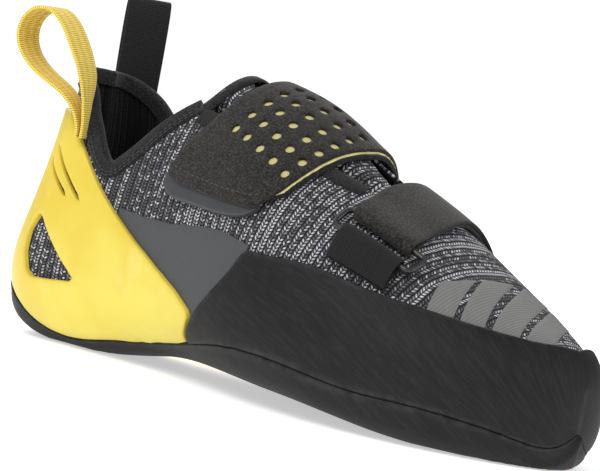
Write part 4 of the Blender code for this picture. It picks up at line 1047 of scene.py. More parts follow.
def belt(name, material, path, rear_rows, front_rows, thick, across=14):
    """Folded band with round edges along a path of (girth, lift), between two edge tables."""
    path = np.array(path, float)
    dense = smooth_curve([(girth * HALF_GIRTH, lift) for girth, lift in path], 3)
    flat = np.array(dense)
    direction = unit(np.gradient(flat, axis=0))
    side = np.stack([-direction[:, 1], direction[:, 0]], 1)
    rear = spline([row.girth for row in rear_rows], [row.along for row in rear_rows], False)
    front = spline([row.girth for row in front_rows], [row.along for row in front_rows], False)
    half = thick / 2
    profile = [(t, half, 0.0) for t in np.linspace(0, 1, across + 1)]
    profile += [(1.0, half * math.cos(t), half * math.sin(t)) for t in np.linspace(0, math.pi, 6)[1:-1]]
    profile += [(t, -half, 0.0) for t in np.linspace(1, 0, across + 1)]
    profile += [(0.0, -half * math.cos(t), -half * math.sin(t)) for t in np.linspace(0, math.pi, 6)[1:-1]]
    rings = []
    for centre, normal in zip(flat, side):
        ring = []
        for share, offset, out in profile:
            point = centre + normal * offset
            girth = point[0] / HALF_GIRTH
            a, b = rear(girth), front(girth)
            along = a + (b - a) * share + (out - half * (2 * share - 1)) / LENGTH
            ring.append((share_to_u(float(along)), 2 - girth, point[1]))
        u, w, lift = np.array(ring).T
        rings.append(place(u, w, lift))
    return sweep(name, material, rings)


def parallel(path, distance):
    """Line drawn in by a distance to the left of a path over the surface."""
    line = np.array(path, float)
    here = place(line[:, 0], line[:, 1])
    normal = unit(place(line[:, 0], line[:, 1], 0.001) - here)
    into = unit(np.cross(normal, unit(np.gradient(here, axis=0))))
    return surface_steps(line, into, distance)


def u_band(name, material, path, width=BINDING_WIDTH):
    """Soft folded edge band round the edge that a path follows, panel on its left."""
    top, under = WALL + BAND_OVER, -BAND_OVER - BAND_UNDER
    middle, radius = (top + under) / 2, (top - under) / 2
    full = radius + BAND_THICK
    outer, inner = [], []
    for t in np.linspace(0, math.pi, 9):
        outer.append((-math.sin(t) * full * 0.62, middle + math.cos(t) * full))
        inner.append((-math.sin(t) * radius * 0.5, middle + math.cos(t) * radius))
    profile = [(width - 0.0004, top + BAND_THICK * 0.55), (width - 0.0012, top + BAND_THICK)] + outer
    profile += [(width * 0.8, under - BAND_THICK), (width * 0.8, under)] + inner[::-1] + [(width, top)]
    rings = []
    for distance, lift in profile:
        moved = parallel(path, distance)
        rings.append(place(moved[:, 0], moved[:, 1], lift))
    return sweep(name, material, np.array(rings).transpose(1, 0, 2))


def densify(path, step):
    """Line with points added by a smooth walk, about step metres apart."""
    scaled = [(u * LONG_SCALE, w * HALF_GIRTH) for u, w in path]
    longest = max(math.dist(a, b) for a, b in zip(scaled[:-1], scaled[1:]))
    walk = smooth_curve(scaled, max(1, math.ceil(longest / step)))
    return [(x / LONG_SCALE, y / HALF_GIRTH) for x, y in walk]


def tube(name, material, centre, away, radius, sides=14):
    """Closed wire tube along a ring of points; away are outward directions at them."""
    ahead = unit(np.roll(centre, -1, axis=0) - np.roll(centre, 1, axis=0))
    beside = unit(np.cross(ahead, away))
    turns = np.linspace(0, 2 * math.pi, sides, endpoint=False)
    rings = []
    for middle, up, side in zip(centre, away, beside):
        rings.append([middle + radius * (up * math.cos(t) + side * math.sin(t)) for t in turns])
    return sweep(name, material, rings, closed=True)


class Graph:
    """Short calls that build a material's nodes."""

    def __init__(self, name):
        self.material = bpy.data.materials.new(name)
        self.material.use_nodes = True
        self.tree = self.material.node_tree
        self.shader = self.tree.nodes["Principled BSDF"]

    def put(self, socket, value):
        if isinstance(value, bpy.types.NodeSocket):
            self.tree.links.new(value, socket)
        elif hasattr(value, "__len__") and socket.type == "RGBA" and len(value) == 3:
            socket.default_value = (*value, 1.0)
        else:
            socket.default_value = value

    def node(self, kind, settings=None, **inputs):
        node = self.tree.nodes.new(kind)
        for name, value in (settings or {}).items():
            setattr(node, name, value)
        for name, value in inputs.items():
            self.put(node.inputs[name.replace("_", " ")], value)
        return node

    def math(self, operation, a, b=0.0, c=0.0, clamp=False):
        node = self.tree.nodes.new("ShaderNodeMath")
        node.operation = operation
        node.use_clamp = clamp
        for socket, value in zip(node.inputs, (a, b, c)):
            self.put(socket, value)
        return node.outputs[0]

    def mix(self, factor, a, b):
        node = self.tree.nodes.new("ShaderNodeMix")
        node.data_type = "RGBA"
        self.put(node.inputs[0], factor)
        self.put(node.inputs[6], a)
        self.put(node.inputs[7], b)
        return node.outputs[2]

    def noise(self, scale, detail=3.0, vector=None, rough=0.55):
        vector = self.place() if vector is None else vector
        made = self.node("ShaderNodeTexNoise", Vector=vector, Scale=scale, Detail=detail, Roughness=rough)
        return made.outputs["Fac"]

    def place(self):
        return self.node("ShaderNodeTexCoord").outputs["Object"]

    def cloth(self):
        """The piece's own flat map, along and around, in metres."""
        uv = self.node("ShaderNodeUVMap", {"uv_map": "Cloth"}).outputs[0]
        parts = self.node("ShaderNodeSeparateXYZ", Vector=uv)
        return uv, parts.outputs[0], parts.outputs[1]

    def mark(self, name):
        return self.node("ShaderNodeAttribute", {"attribute_name": name}).outputs["Fac"]

    def border(self):
        return self.mark("Border")

    def ramp(self, value, low, high):
        node = self.node("ShaderNodeMapRange", {"interpolation_type": "SMOOTHSTEP"}, Value=value)
        node.inputs["From Min"].default_value = low
        node.inputs["From Max"].default_value = high
        return node.outputs[0]

    def finish(self, colour, roughness, height=None, bump=0.3, depth=0.0002, **fixed):
        self.put(self.shader.inputs["Base Color"], colour)
        self.put(self.shader.inputs["Roughness"], roughness)
        for name, value in fixed.items():
            self.put(self.shader.inputs[name.replace("_", " ")], value)
        if height is not None:
            node = self.node("ShaderNodeBump", Height=height, Strength=bump, Distance=depth)
            self.put(self.shader.inputs["Normal"], node.outputs[0])
        return self.material


def knit_finish(name, light, dark):
    """Ribbed melange knit: chain loops in columns round the foot, light yarn twisted with dark; painted shade
    darkens each loop towards the knit's recesses.
    The vamp is lighter than the ankle and the toe, and the inside is lined in black."""
    g = Graph(name)
    _, along, around = g.cloth()
    sway = g.math("MULTIPLY", g.math("SUBTRACT", g.noise(70, 2.0), 0.5), 0.45)
    column = g.math("ADD", g.math("DIVIDE", along, look().rib_pitch), sway)
    number = g.math("FLOOR", column)
    across = g.math("FRACT", column)
    centred = g.math("ABSOLUTE", g.math("SUBTRACT", across, 0.5))
    start = g.node("ShaderNodeTexWhiteNoise", {"noise_dimensions": "1D"}, W=number).outputs["Value"]
    loops = g.math("DIVIDE", around, look().stitch_row)
    loops = g.math("ADD", g.math("ADD", loops, g.math("MULTIPLY", centred, 1.7)), start)
    row = g.math("FLOOR", loops)
    within = g.math("FRACT", loops)
    half = g.math("SIGN", g.math("SUBTRACT", across, 0.5))
    key = g.node("ShaderNodeCombineXYZ", X=number, Y=row, Z=half).outputs[0]
    chance = g.node("ShaderNodeTexWhiteNoise", {"noise_dimensions": "3D"}, Vector=key).outputs["Value"]
    rib = g.math("SINE", g.math("MULTIPLY", across, math.pi))
    leg = g.math("SINE", g.math("MULTIPLY", within, math.pi))
    # Loops fade to the dark yarn at the column edges, at each column's middle and between rows. The dark yarn
    # there is real; the graded darkening into these recesses is painted shade.
    legs = g.ramp(centred, 0.02, 0.12)
    rim = g.ramp(centred, 0.46, 0.27)
    loop = g.math("MULTIPLY", g.math("MULTIPLY", g.ramp(leg, 0.22, 0.90), legs), rim)
    broad = g.noise(22, 2.0)
    column_light = g.math("ADD", g.math("MULTIPLY", start, 0.85), g.math("MULTIPLY", broad, 0.65))
    length = g.node("ShaderNodeSeparateXYZ", Vector=g.place()).outputs[0]
    vamp = g.math("MULTIPLY", g.ramp(length, 0.035, 0.085), g.ramp(length, 0.185, 0.135))
    lit = g.math("ADD", g.math("MULTIPLY", column_light, 0.52), g.math("MULTIPLY", vamp, 0.16))
    share = g.ramp(g.math("ADD", g.math("MULTIPLY", chance, 0.62), lit), 0.56, 0.96)
    middle = tuple(0.15 * a + 0.85 * b for a, b in zip(light, dark))
    yarn = g.mix(share, middle, light)
    fibre = g.math("MULTIPLY", g.noise(2600, 2.0), 0.5)
    colour = g.mix(g.math("MULTIPLY", loop, g.math("ADD", fibre, 0.72), clamp=True), dark, yarn)
    colour = g.mix(g.ramp(g.mark("Inside"), 0.0, 0.5), colour, LINING_BLACK)
    height = g.math("ADD", g.math("MULTIPLY", rib, 0.60), g.math("MULTIPLY", loop, 0.40))
    return g.finish(colour, 0.9, height, 1.0, 0.0008,
                    Sheen_Weight=0.06, Sheen_Roughness=0.5, Specular_IOR_Level=0.2)


def rubber_finish(name, colour, streak, roughness):
    """Matt cut rubber with fine lengthwise marks and paler, scuffed borders."""
    g = Graph(name)
    stretched = g.node("ShaderNodeMapping", Vector=g.cloth()[0], Scale=(0.10, 1.0, 1.0)).outputs[0]
    lines = g.noise(900, 4.0, stretched, 0.7)
    cloud = g.noise(28, 3.0)
    worn = g.math("MULTIPLY", g.ramp(g.border(), 0.55, 1.0), g.ramp(g.noise(240, 3.0), 0.30, 0.70))
    pale = tuple(min(1, c * 2.4 + 0.004) for c in colour)
    tone = g.mix(g.math("MULTIPLY", g.ramp(lines, 0.40, 0.72), streak), colour, pale)
    tone = g.mix(g.math("MULTIPLY", worn, 0.45), tone, tuple(min(1, c * 6.0) for c in colour))
    rough = g.math("ADD", roughness, g.math("MULTIPLY", g.math("SUBTRACT", cloud, 0.5), 0.16))
    height = g.math("ADD", g.math("MULTIPLY", lines, 0.6), g.noise(1500, 2.0))
    return g.finish(tone, rough, height, 0.35, 0.00012, Specular_IOR_Level=0.24)


def cup_finish(name, colour):
    """Smooth cast rubber, slightly cloudy, with a soft gloss and pale blotches of painted highlight."""
    g = Graph(name)
    cloud = g.noise(26, 3.0)
    # Pale blotches at random over the cup: painted highlight
    highlight_spots = g.ramp(g.noise(75, 2.0), 0.58, 0.74)
    deep = (colour[0] * 0.94, colour[1] * 0.83, colour[2] * 0.55)
    pale = (colour[0] * 1.05, colour[1] * 1.07, colour[2] * 2.2)
    tone = g.mix(g.ramp(cloud, 0.35, 0.68), deep, colour)
    tone = g.mix(g.math("MULTIPLY", highlight_spots, 0.35), tone, pale)
    tone = g.mix(g.math("MULTIPLY", g.ramp(g.border(), 0.70, 1.0), 0.35), tone, deep)
    rough = g.math("ADD", 0.36, g.math("MULTIPLY", cloud, 0.16))
    height = g.math("ADD", g.noise(120, 2.0), g.math("MULTIPLY", g.noise(1800, 2.0), 0.12))
    return g.finish(tone, rough, height, 0.22, 0.0004, Coat_Weight=0.10, Coat_Roughness=0.35)


def suede_finish(name, colour, grain=1300.0):
    """Brushed microfibre: short nap, mottled."""
    g = Graph(name)
    nap = g.noise(grain, 4.0)
    mottle = g.noise(60, 3.0)
    pale = tuple(c * 2.1 + 0.004 for c in colour)
    tone = g.mix(g.ramp(nap, 0.42, 0.66), tuple(c * 0.62 for c in colour), pale)
    tone = g.mix(g.math("MULTIPLY", g.ramp(mottle, 0.40, 0.70), 0.20), tone, pale)
    height = g.math("ADD", nap, g.math("MULTIPLY", mottle, 0.4))
    return g.finish(tone, 0.95, height, 0.8, 0.0004,
                    Sheen_Weight=0.16, Sheen_Roughness=0.45, Specular_IOR_Level=0.12)


def film_finish(name, colour, strength=0.5):
    """Thin coated film; the knit's ribs show through it."""
    g = Graph(name)
    _, along, around = g.cloth()
    rib = g.math("SINE", g.math("MULTIPLY", along, 2 * math.pi / (look().rib_pitch * 0.36)))
    loop = g.math("SINE", g.math("MULTIPLY", around, 2 * math.pi / (look().stitch_row * 0.8)))
    weave = g.math("ADD", g.math("MULTIPLY", rib, 0.55), g.math("MULTIPLY", loop, 0.15))
    fine = g.noise(1500, 3.0)
    pale = tuple(c * 1.45 for c in colour)
    tone = g.mix(g.math("MULTIPLY", g.ramp(g.math("ADD", weave, fine), 0.2, 1.4), strength), colour, pale)
    return g.finish(tone, 0.62, g.math("ADD", weave, fine), 0.35, 0.00012, Specular_IOR_Level=0.35)


def webbing_finish(name, colour, ribs=0.0011):
    """Woven tape: ribs across its run, with a fine twist along them."""
    g = Graph(name)
    _, along, around = g.cloth()
    warp = g.math("SINE", g.math("MULTIPLY", around, 2 * math.pi / ribs))
    weft = g.math("SINE", g.math("MULTIPLY", along, 2 * math.pi / (ribs * 0.72)))
    weave = g.math("MULTIPLY_ADD", warp, 0.22, g.math("MULTIPLY", weft, 0.70))
    fibre = g.noise(2400, 2.0)
    deep = tuple(c * 0.55 for c in colour)
    pale = tuple(min(1, c * 1.25 + 0.002) for c in colour)
    tone = g.mix(g.ramp(g.math("ADD", weave, g.math("MULTIPLY", fibre, 0.5)), -0.7, 1.0), deep, pale)
    return g.finish(tone, 0.85, weave, 0.5, 0.00025, Sheen_Weight=0.08, Specular_IOR_Level=0.15)


def plain_finish(name, colour, roughness, grain=900.0, bump=0.2, **fixed):
    """Even finish with a fine grain and slight cloudiness."""
    g = Graph(name)
    cloud = g.noise(45, 3.0)
    deep = tuple(c * 0.86 for c in colour)
    pale = tuple(min(1, c * 1.10) for c in colour)
    tone = g.mix(g.ramp(cloud, 0.3, 0.7), deep, pale)
    rough = g.math("ADD", roughness, g.math("MULTIPLY", g.math("SUBTRACT", cloud, 0.5), 0.12))
    return g.finish(tone, rough, g.noise(grain, 3.0), bump, 0.00015, **fixed)


LINING_BLACK = (0.0045, 0.0045, 0.005)
FINISHES = {}


def finish_of(name):
    """Each finish is made once, when a piece first asks for it."""
    if name in FINISHES:
        return FINISHES[name]
    makers = {
        "knit_grey": lambda: knit_finish(name, tuple(look().knit_light), tuple(look().knit_dark)),
        "rubber_black": lambda: rubber_finish(name, tuple(look().rubber_colour), 0.55, 0.60),
        "rubber_yellow": lambda: cup_finish(name, tuple(look().cup_colour)),
        "film_grey": lambda: film_finish(name, (0.060, 0.062, 0.067)),
        "print_grey": lambda: film_finish(name, (0.145, 0.144, 0.140), 0.9),
        "suede_black": lambda: suede_finish(name, (0.020, 0.0185, 0.0165)),
        "lining_yellow": lambda: webbing_finish(name, (0.74, 0.67, 0.30), 0.0008),
        "tab_grey": lambda: plain_finish(name, (0.040, 0.042, 0.045), 0.52),
        "webbing_black": lambda: webbing_finish(name, (0.0120, 0.0115, 0.0125)),
        "webbing_yellow": lambda: webbing_finish(name, tuple(look().web_colour)),
        "band_black": lambda: suede_finish(name, (0.0135, 0.0135, 0.0145), 1700.0),
        "ring_dark": lambda: plain_finish(name, (0.020, 0.020, 0.021), 0.34, bump=0.08, Coat_Weight=0.2),
        "insole_grey": lambda: plain_finish(name, (0.030, 0.030, 0.032), 0.9),
        "thread_dark": lambda: plain_finish(name, (0.060, 0.057, 0.053), 0.8),
        "thread_yellow": lambda: plain_finish(name, (0.62, 0.40, 0.05), 0.8),
    }
    FINISHES[name] = makers[name]()
    return FINISHES[name]


def crease_dip(u, w):
    """Soft trough that the fold of the heel cup leaves on both sides."""
    girth = np.minimum(w, 2 - w)
    line = np.array(rows_to_path(CUP_CREASE)) * [LONG_SCALE, HALF_GIRTH]
    points = np.stack([u * LONG_SCALE, girth * HALF_GIRTH], 1)
    distance = edge_distance(points, line[:-1], line[1:])
    trough = CREASE_DEPTH * np.exp(-(distance / CREASE_REACH) ** 2)
    ridge = RIDGE_HEIGHT * np.exp(-((distance - RIDGE_AWAY) / RIDGE_REACH) ** 2)
    return ridge - trough


NETS = {}


def main_net():
    """The fine net that the upper, rubber and films share; made once."""
    if "net" not in NETS:
        cup = cup_region()
        window = [rows_to_path(WINDOW), rows_to_path(WINDOW, True)]
        slits = [slit_loop(slit, outer) for slit in SLITS for outer in (False, True)]
        loops = [upper_loop(), tongue_loop()] + insole_region() + sole_region() + rand_region()
        loops += cup + window + slits + film_region(False) + film_region(True)
        NETS["net"] = sheet(loops, FINE_STEP)
        NETS["cup"] = cup
        NETS["cup_holes"] = window + slits
    return NETS["net"]


def tongue_panel():
    """Outline of the tongue with its curved top."""
    side = TONGUE_LINE + [Edge(row.along, row.girth) for row in TONGUE_EDGE[1:]]
    half = rows_to_path(side, True)
    return smooth_path(half[:len(TONGUE_LINE)], 4)[:-1] + half[len(TONGUE_LINE) - 1:] + mirror(half)[1:-1]


def tongue_lip(u, w):
    """Lift of the tongue's top, which stands up to the level of the throat's edges."""
    along = (1 - np.cos(math.pi * u)) / 2
    near = np.clip(1 - (along - LIP_START) / LIP_FADE, 0, 1)
    aside = np.clip((np.abs(w - 1) - LIP_MIDDLE) / LIP_SIDE, 0, 1)
    return LIP_RISE * near * near * aside


class SHOE_OT_upper(Operator):
    """Knitted upper, footbed and tongue"""

    bl_idname = "shoe.upper"
    bl_label = "Upper"

    def execute(self, context):
        net = main_net()
        knit = finish_of("knit_grey")
        dress(shell("knit_upper", knit, net, [upper_loop()], UPPER_LIFT), "upper")
        board = finish_of("insole_grey")
        dress(shell("footbed", board, net, insole_region(), INSOLE_LIFT), "insole")
        lift = Lift(tongue_low, tongue_high)
        loop = tongue_panel()
        net = sheet([loop], FINE_STEP, whole=False)
        tongue = shell("padded_tongue", knit, net, [loop], lift, extra=tongue_lip)
        dress(tongue, "tongue")
        return {"FINISHED"}


class SHOE_OT_rubber(Operator):
    """Outsole, rand and heel cup"""

    bl_idname = "shoe.rubber"
    bl_label = "Rubber"

    def execute(self, context):
        net = main_net()
        black = finish_of("rubber_black")
        edge = look().edge_round
        sole = shell("rubber_outsole", black, net, sole_region(), Lift(OUTSIDE, sole_high), floor=0.0,
                     gap=TIGHT, rounding=edge * 0.6)
        dress(sole, "outsole")
        rand = shell("rubber_rand", black, net, rand_region(), RAND_LIFT, gap=TIGHT, rounding=edge * 0.9)
        dress(rand, "rand")
        loops = NETS["cup"] + NETS["cup_holes"]
        cup = shell("cast_heel_cup", finish_of("rubber_yellow"), net, loops, CUP_LIFT,
                    gap=TIGHT, rounding=edge, extra=crease_dip)
        dress(cup, "heel_cup")
        return {"FINISHED"}


class SHOE_OT_films(Operator):
    """Side films and the printed toe bands"""

    bl_idname = "shoe.films"
    bl_label = "Films"

    def execute(self, context):
        net = main_net()
        grey = finish_of("film_grey")
        without = [cup_region(), rand_region(), sole_region()]
        for side, outer in (("outer", True), ("inner", False)):
            film = shell(f"side_film_{side}", grey, net, film_region(outer), FILM_LIFT, without=without,
                         gap=TIGHT, rounding=0.0002)
            dress(film, f"film_{side}")
        for i, band in enumerate(TOE_BANDS):
            loop = [(float(share_to_u(along)), w) for along, w in band]
            patch = sheet([loop], FINE_STEP, whole=False)
            piece = shell(f"toe_band_{i + 1}", finish_of("print_grey"), patch, [loop], TOE_BAND_LIFT,
                          rounding=0.0002)
            dress(piece, None)
        return {"FINISHED"}


def fine_holes():
    """Round punched holes of the instep strap."""
    loops = []
    for row in HOLE_ROWS:
        for i in range(HOLES_IN_ROW):
            u = float(share_to_u(row.along + HOLE_FORWARD + i * HOLE_DRIFT * (HOLES_IN_ROW - i)))
            w = 2 - (row.girth - HOLE_DOWN + i * HOLE_PITCH)
            across, around = HOLE_RADIUS / LONG_SCALE, HOLE_RADIUS / HALF_GIRTH
            turns = np.linspace(0, 2 * math.pi, look().hole_sides, endpoint=False)
            loops.append([(u + across * math.cos(t), w + around * math.sin(t)) for t in turns])
    return loops


class SHOE_OT_instep_strap(Operator):
    """Punched instep strap with its yellow lining and rubber tab"""

    bl_idname = "shoe.instep_strap"
    bl_label = "Instep strap"

    def execute(self, context):
        strap = [strap_loop(STRAP_END)]
        holes = fine_holes()
        net = sheet(strap + holes, FINE_STEP, whole=False)
        piece = shell("punched_strap", finish_of("suede_black"), net, strap + holes, STRAP_LIFT,
                      rounding=0.00035)
        dress(piece, "instep_strap")
        lining = [strap_loop(LINING_END, LINING_SHOWS)]
        net = sheet(lining, FINE_STEP, whole=False)
        piece = shell("strap_backing", finish_of("lining_yellow"), net, lining, LINING_LIFT, rounding=0.0001)
        dress(piece, "strap_lining")
        under = [strap_loop(LINING_END, PILE_SHOWS)]
        net = sheet(under, FINE_STEP, whole=False)
        piece = shell("strap_pile", finish_of("band_black"), net, under, PILE_LIFT)
        dress(piece, "strap_lining")
        tab = [smooth_path(rows_to_path(TAB_END, True), 3)]
        net = sheet(tab, FINE_STEP * 0.8, whole=False)
        piece = shell("rubber_tab", finish_of("tab_grey"), net, tab, TAB_LIFT, rounding=0.0008)
        dress(piece, "strap_tab")
        return {"FINISHED"}


def ring_line():
    """Centre line of the wire ring and the outward directions along it."""
    rear, front = float(share_to_u(RING_REAR)), float(share_to_u(RING_FRONT))
    round_u, round_w = RING_CORNER / LONG_SCALE, RING_CORNER / HALF_GIRTH
    corners = [(front - round_u, RING_HIGH - round_w, 0), (rear + round_u, RING_HIGH - round_w, 90),
               (rear + round_u, RING_LOW + round_w, 180), (front - round_u, RING_LOW + round_w, 270)]
    path = []
    for u, girth, start in corners:
        for turn in np.radians(np.linspace(start, start + 90, 7)):
            path.append((u + round_u * math.cos(turn), girth + round_w * math.sin(turn)))
    dense = []
    for a, b in zip(path, path[1:] + path[:1]):
        du, dw = b[0] - a[0], b[1] - a[1]
        parts = max(1, round(math.hypot(du * LONG_SCALE, dw * HALF_GIRTH) / BAND_STEP))
        dense += [(a[0] + du * i / parts, a[1] + dw * i / parts) for i in range(parts)]
    u, girth = np.array(dense).T
    centre = place(u, 2 - girth, RING_LIFT)
    return centre, unit(place(u, 2 - girth, RING_LIFT + 0.001) - centre)


class SHOE_OT_ring_strap(Operator):
    """Forefoot strap folded through its wire ring, and the ring's anchor"""

    bl_idname = "shoe.ring_strap"
    bl_label = "Ring strap"

    def execute(self, context):
        centre, away = ring_line()
        dress(tube("wire_ring", finish_of("ring_dark"), centre, away, RING_WIRE), "ring")
        round_bar = RING_WIRE + 1.5 * GAP
        stations = np.linspace(FORE_START, RING_HIGH, 11)
        path = fold_path(stations, FORE_END, RING_LIFT, round_bar + FORE_THICK / 2, 0.0032, 0.0048, -1)
        strap = belt("folded_strap", finish_of("suede_black"), path, FORE_REAR, FORE_FRONT, FORE_THICK)
        dress(strap, "forefoot_strap")
        stations = np.linspace(ANCHOR_END, RING_LOW, 4)
        path = fold_path(stations, ANCHOR_END, RING_LIFT, round_bar + ANCHOR_THICK / 2, 0.0031, 0.0045, 1)
        black = finish_of("webbing_black")
        anchor = belt("ring_webbing", black, path, ANCHOR_REAR, ANCHOR_FRONT, ANCHOR_THICK)
        dress(anchor, "ring_anchor")
        return {"FINISHED"}


class SHOE_OT_bindings(Operator):
    """Folded bands round the collar, the throat and the tongue's top"""

    bl_idname = "shoe.bindings"
    bl_label = "Bindings"

    def execute(self, context):
        black = finish_of("band_black")
        rim, back = collar_path()
        outer = densify(rim[: back + 1], BAND_STEP)
        inner = densify(mirror([rim[back]]) + rim[back + 1:], BAND_STEP)
        dress(u_band("collar_band", black, outer[:-1] + inner), "collar_binding")
        for side, outer_side in (("outer", True), ("inner", False)):
            line = smooth_path(rows_to_path(THROAT, True), 6)
            bounds = [float(share_to_u(bound)) for bound in THROAT_BOUND]
            line = [point for point in line if bounds[0] < point[0] < bounds[1]]
            path = line[::-1] if outer_side else mirror(line)
            dress(u_band(f"throat_band_{side}", black, path), f"throat_binding_{side}")
        half = smooth_path(rows_to_path(TONGUE_LINE, True), 6)
        line = mirror(half)[:-1] + half[::-1]
        band = u_band("tongue_band", black, line, width=0.0040)
        dress(band, "tongue_binding")
        return {"FINISHED"}


def pull_loop(name, finish, node, seat, path):
    """Webbing with slightly rounded edges, folded into a loop off the heel."""
    base = place(seat.u, seat.w, seat.lift)
    outward = unit(np.array([seat.out_x, seat.out_y, 0.0]))
    rise = np.array([0.0, 0.0, 1.0])
    across = unit(np.cross(outward, rise))
    parts = 8
    line = smooth_curve([(row.out, row.up) for row in path], parts)
    wide = np.interp(np.arange(len(line)) / parts, np.arange(len(path)), [row.wide for row in path])
    centre = np.array([base + outward * out + rise * up for out, up in line])
    ahead = unit(np.gradient(centre, axis=0))
    rings = []
    half = LOOP_THICK / 2
    for point, way, share in zip(centre, ahead, wide):
        skin = np.cross(way, across)
        reach = seat.width * share / 2 - half
        ring = []
        for sign in (1, -1):
            for t in np.linspace(-1, 1, 9) * sign:
                ring.append(point - across * reach * t + skin * half * sign)
            for turn in np.linspace(0, math.pi, 5)[1:-1]:
                edge = across * -sign * (reach + half * math.sin(turn))
                ring.append(point + edge + skin * half * sign * math.cos(turn))
        rings.append(ring)
    return dress(sweep(name, finish_of(finish), rings), node)


class SHOE_OT_pull_loops(Operator):
    """Webbing pull loops at the heel"""

    bl_idname = "shoe.pull_loops"
    bl_label = "Pull loops"

    def execute(self, context):
        pull_loop("yellow_pull_loop", "webbing_yellow", "pull_loop_outer", YELLOW_SEAT, YELLOW_LOOP)
        pull_loop("black_pull_loop", "webbing_black", "pull_loop_inner", BLACK_SEAT, BLACK_LOOP)
        return {"FINISHED"}


def stitch_tree():
    """Geometry nodes that lay small thread stitches along a line."""
    tree = bpy.data.node_groups.new("Sewn line", "GeometryNodeTree")
    face = tree.interface
    face.new_socket(name="Geometry", in_out="INPUT", socket_type="NodeSocketGeometry")
    for name, value in (("Pitch", 0.0026), ("Length", 0.0019), ("Thickness", 0.0003)):
        face.new_socket(name=name, in_out="INPUT", socket_type="NodeSocketFloat").default_value = value
    face.new_socket(name="Thread", in_out="INPUT", socket_type="NodeSocketMaterial")
    face.new_socket(name="Geometry", in_out="OUTPUT", socket_type="NodeSocketGeometry")
    nodes, links = tree.nodes, tree.links
    start, end = nodes.new("NodeGroupInput"), nodes.new("NodeGroupOutput")
    line = nodes.new("GeometryNodeMeshToCurve")
    points = nodes.new("GeometryNodeCurveToPoints")
    points.mode = "LENGTH"
    stitch = nodes.new("GeometryNodeMeshUVSphere")
    stitch.inputs["Segments"].default_value = 8
    stitch.inputs["Rings"].default_value = 6
    stitch.inputs["Radius"].default_value = 1.0
    size = nodes.new("ShaderNodeCombineXYZ")
    half = nodes.new("ShaderNodeMath")
    half.operation = "MULTIPLY"
    half.inputs[1].default_value = 0.5
    thin = nodes.new("ShaderNodeMath")
    thin.operation = "MULTIPLY"
    thin.inputs[1].default_value = 0.5
    spread = nodes.new("GeometryNodeInstanceOnPoints")
    real = nodes.new("GeometryNodeRealizeInstances")
    paint = nodes.new("GeometryNodeSetMaterial")
    smooth = nodes.new("GeometryNodeSetShadeSmooth")
    links.new(start.outputs["Geometry"], line.inputs["Mesh"])
    links.new(line.outputs["Curve"], points.inputs["Curve"])
    links.new(start.outputs["Pitch"], points.inputs["Length"])
    links.new(start.outputs["Length"], half.inputs[0])
    links.new(start.outputs["Thickness"], thin.inputs[0])
    for axis, source in (("X", thin), ("Y", thin), ("Z", half)):
        links.new(source.outputs[0], size.inputs[axis])
    links.new(points.outputs["Points"], spread.inputs["Points"])
    links.new(points.outputs["Rotation"], spread.inputs["Rotation"])
    links.new(stitch.outputs["Mesh"], spread.inputs["Instance"])
    links.new(size.outputs[0], spread.inputs["Scale"])
    links.new(spread.outputs[0], real.inputs[0])
    links.new(real.outputs[0], smooth.inputs[0])
    links.new(smooth.outputs[0], paint.inputs[0])
    links.new(start.outputs["Thread"], paint.inputs["Material"])
    links.new(paint.outputs[0], end.inputs[0])
    return tree


def sew(name, lines, thread, pitch, length, thickness=0.0003):
    """One piece of stitches along several open lines of points."""
    mesh = bpy.data.meshes.new(name)
    points, edges = [], []
    for line in lines:
        first = len(points)
        points += [tuple(map(float, point)) for point in line]
        edges += [(first + i, first + i + 1) for i in range(len(line) - 1)]
    mesh.from_pydata(points, edges, [])
    item = bpy.data.objects.new(name, mesh)
    bpy.context.collection.objects.link(item)
    tree = bpy.data.node_groups.get("Sewn line") or stitch_tree()
    change = item.modifiers.new("Stitches", "NODES")
    change.node_group = tree
    values = {"Pitch": pitch, "Length": length, "Thickness": thickness, "Thread": finish_of(thread)}
    for socket in tree.interface.items_tree:
        if socket.in_out == "INPUT" and socket.name in values:
            change[socket.identifier] = values[socket.name]
    bpy.context.view_layer.update()
    graph = bpy.context.evaluated_depsgraph_get()
    made = bpy.data.meshes.new_from_object(item.evaluated_get(graph))
    item.modifiers.remove(change)
    item.data = made
    bpy.data.meshes.remove(mesh)
    made.name = name
    return item


def surface_line(path, lift, step=0.0015):
    """Points in space along a (u, w) line at a lift."""
    u, w = np.array(densify(path, step)).T
    return place(u, w, lift)


class SHOE_OT_stitches(Operator):
    """Sewn lines on the instep strap, the collar band and the ring's anchor"""

    bl_idname = "shoe.stitches"
    bl_label = "Stitches"

    def execute(self, context):
        pitch = look().sewing_pitch
        lines = [surface_line(rows_to_path(STRAP_SEWING, True), STRAP_LIFT.high)]
        piece = sew("strap_sewing", lines, "thread_dark", pitch, pitch * 0.72, 0.0005)
        dress(piece, None)
        rim, back = collar_path()
        lines = []
        for distance in COLLAR_SEWING:
            outer = parallel(densify(rim[: back + 1], BAND_STEP), distance)
            inner = parallel(densify(mirror([rim[back]]) + rim[back + 1:], BAND_STEP), distance)
            lines += [place(*outer.T, COLLAR_SEWING_LIFT), place(*inner.T, COLLAR_SEWING_LIFT)]
        dress(sew("collar_sewing", lines, "thread_dark", 0.0022, 0.0016, 0.00034), None)
        low, high = ANCHOR_SEWING
        rear, front = ANCHOR_SIDES
        paths = []
        for share in (rear, front):
            paths.append([anchor_point(girth, share) for girth in (low, (low + high) / 2, high)])
        for girth in (low, ANCHOR_CROSS):
            paths.append([anchor_point(girth, share) for share in (rear, 0.5, front)])
        lines = [surface_line(path, ANCHOR_SEWING_LIFT) for path in paths]
        dress(sew("anchor_sewing", lines, "thread_dark", 0.0022, 0.0016, 0.0004), None)
        return {"FINISHED"}


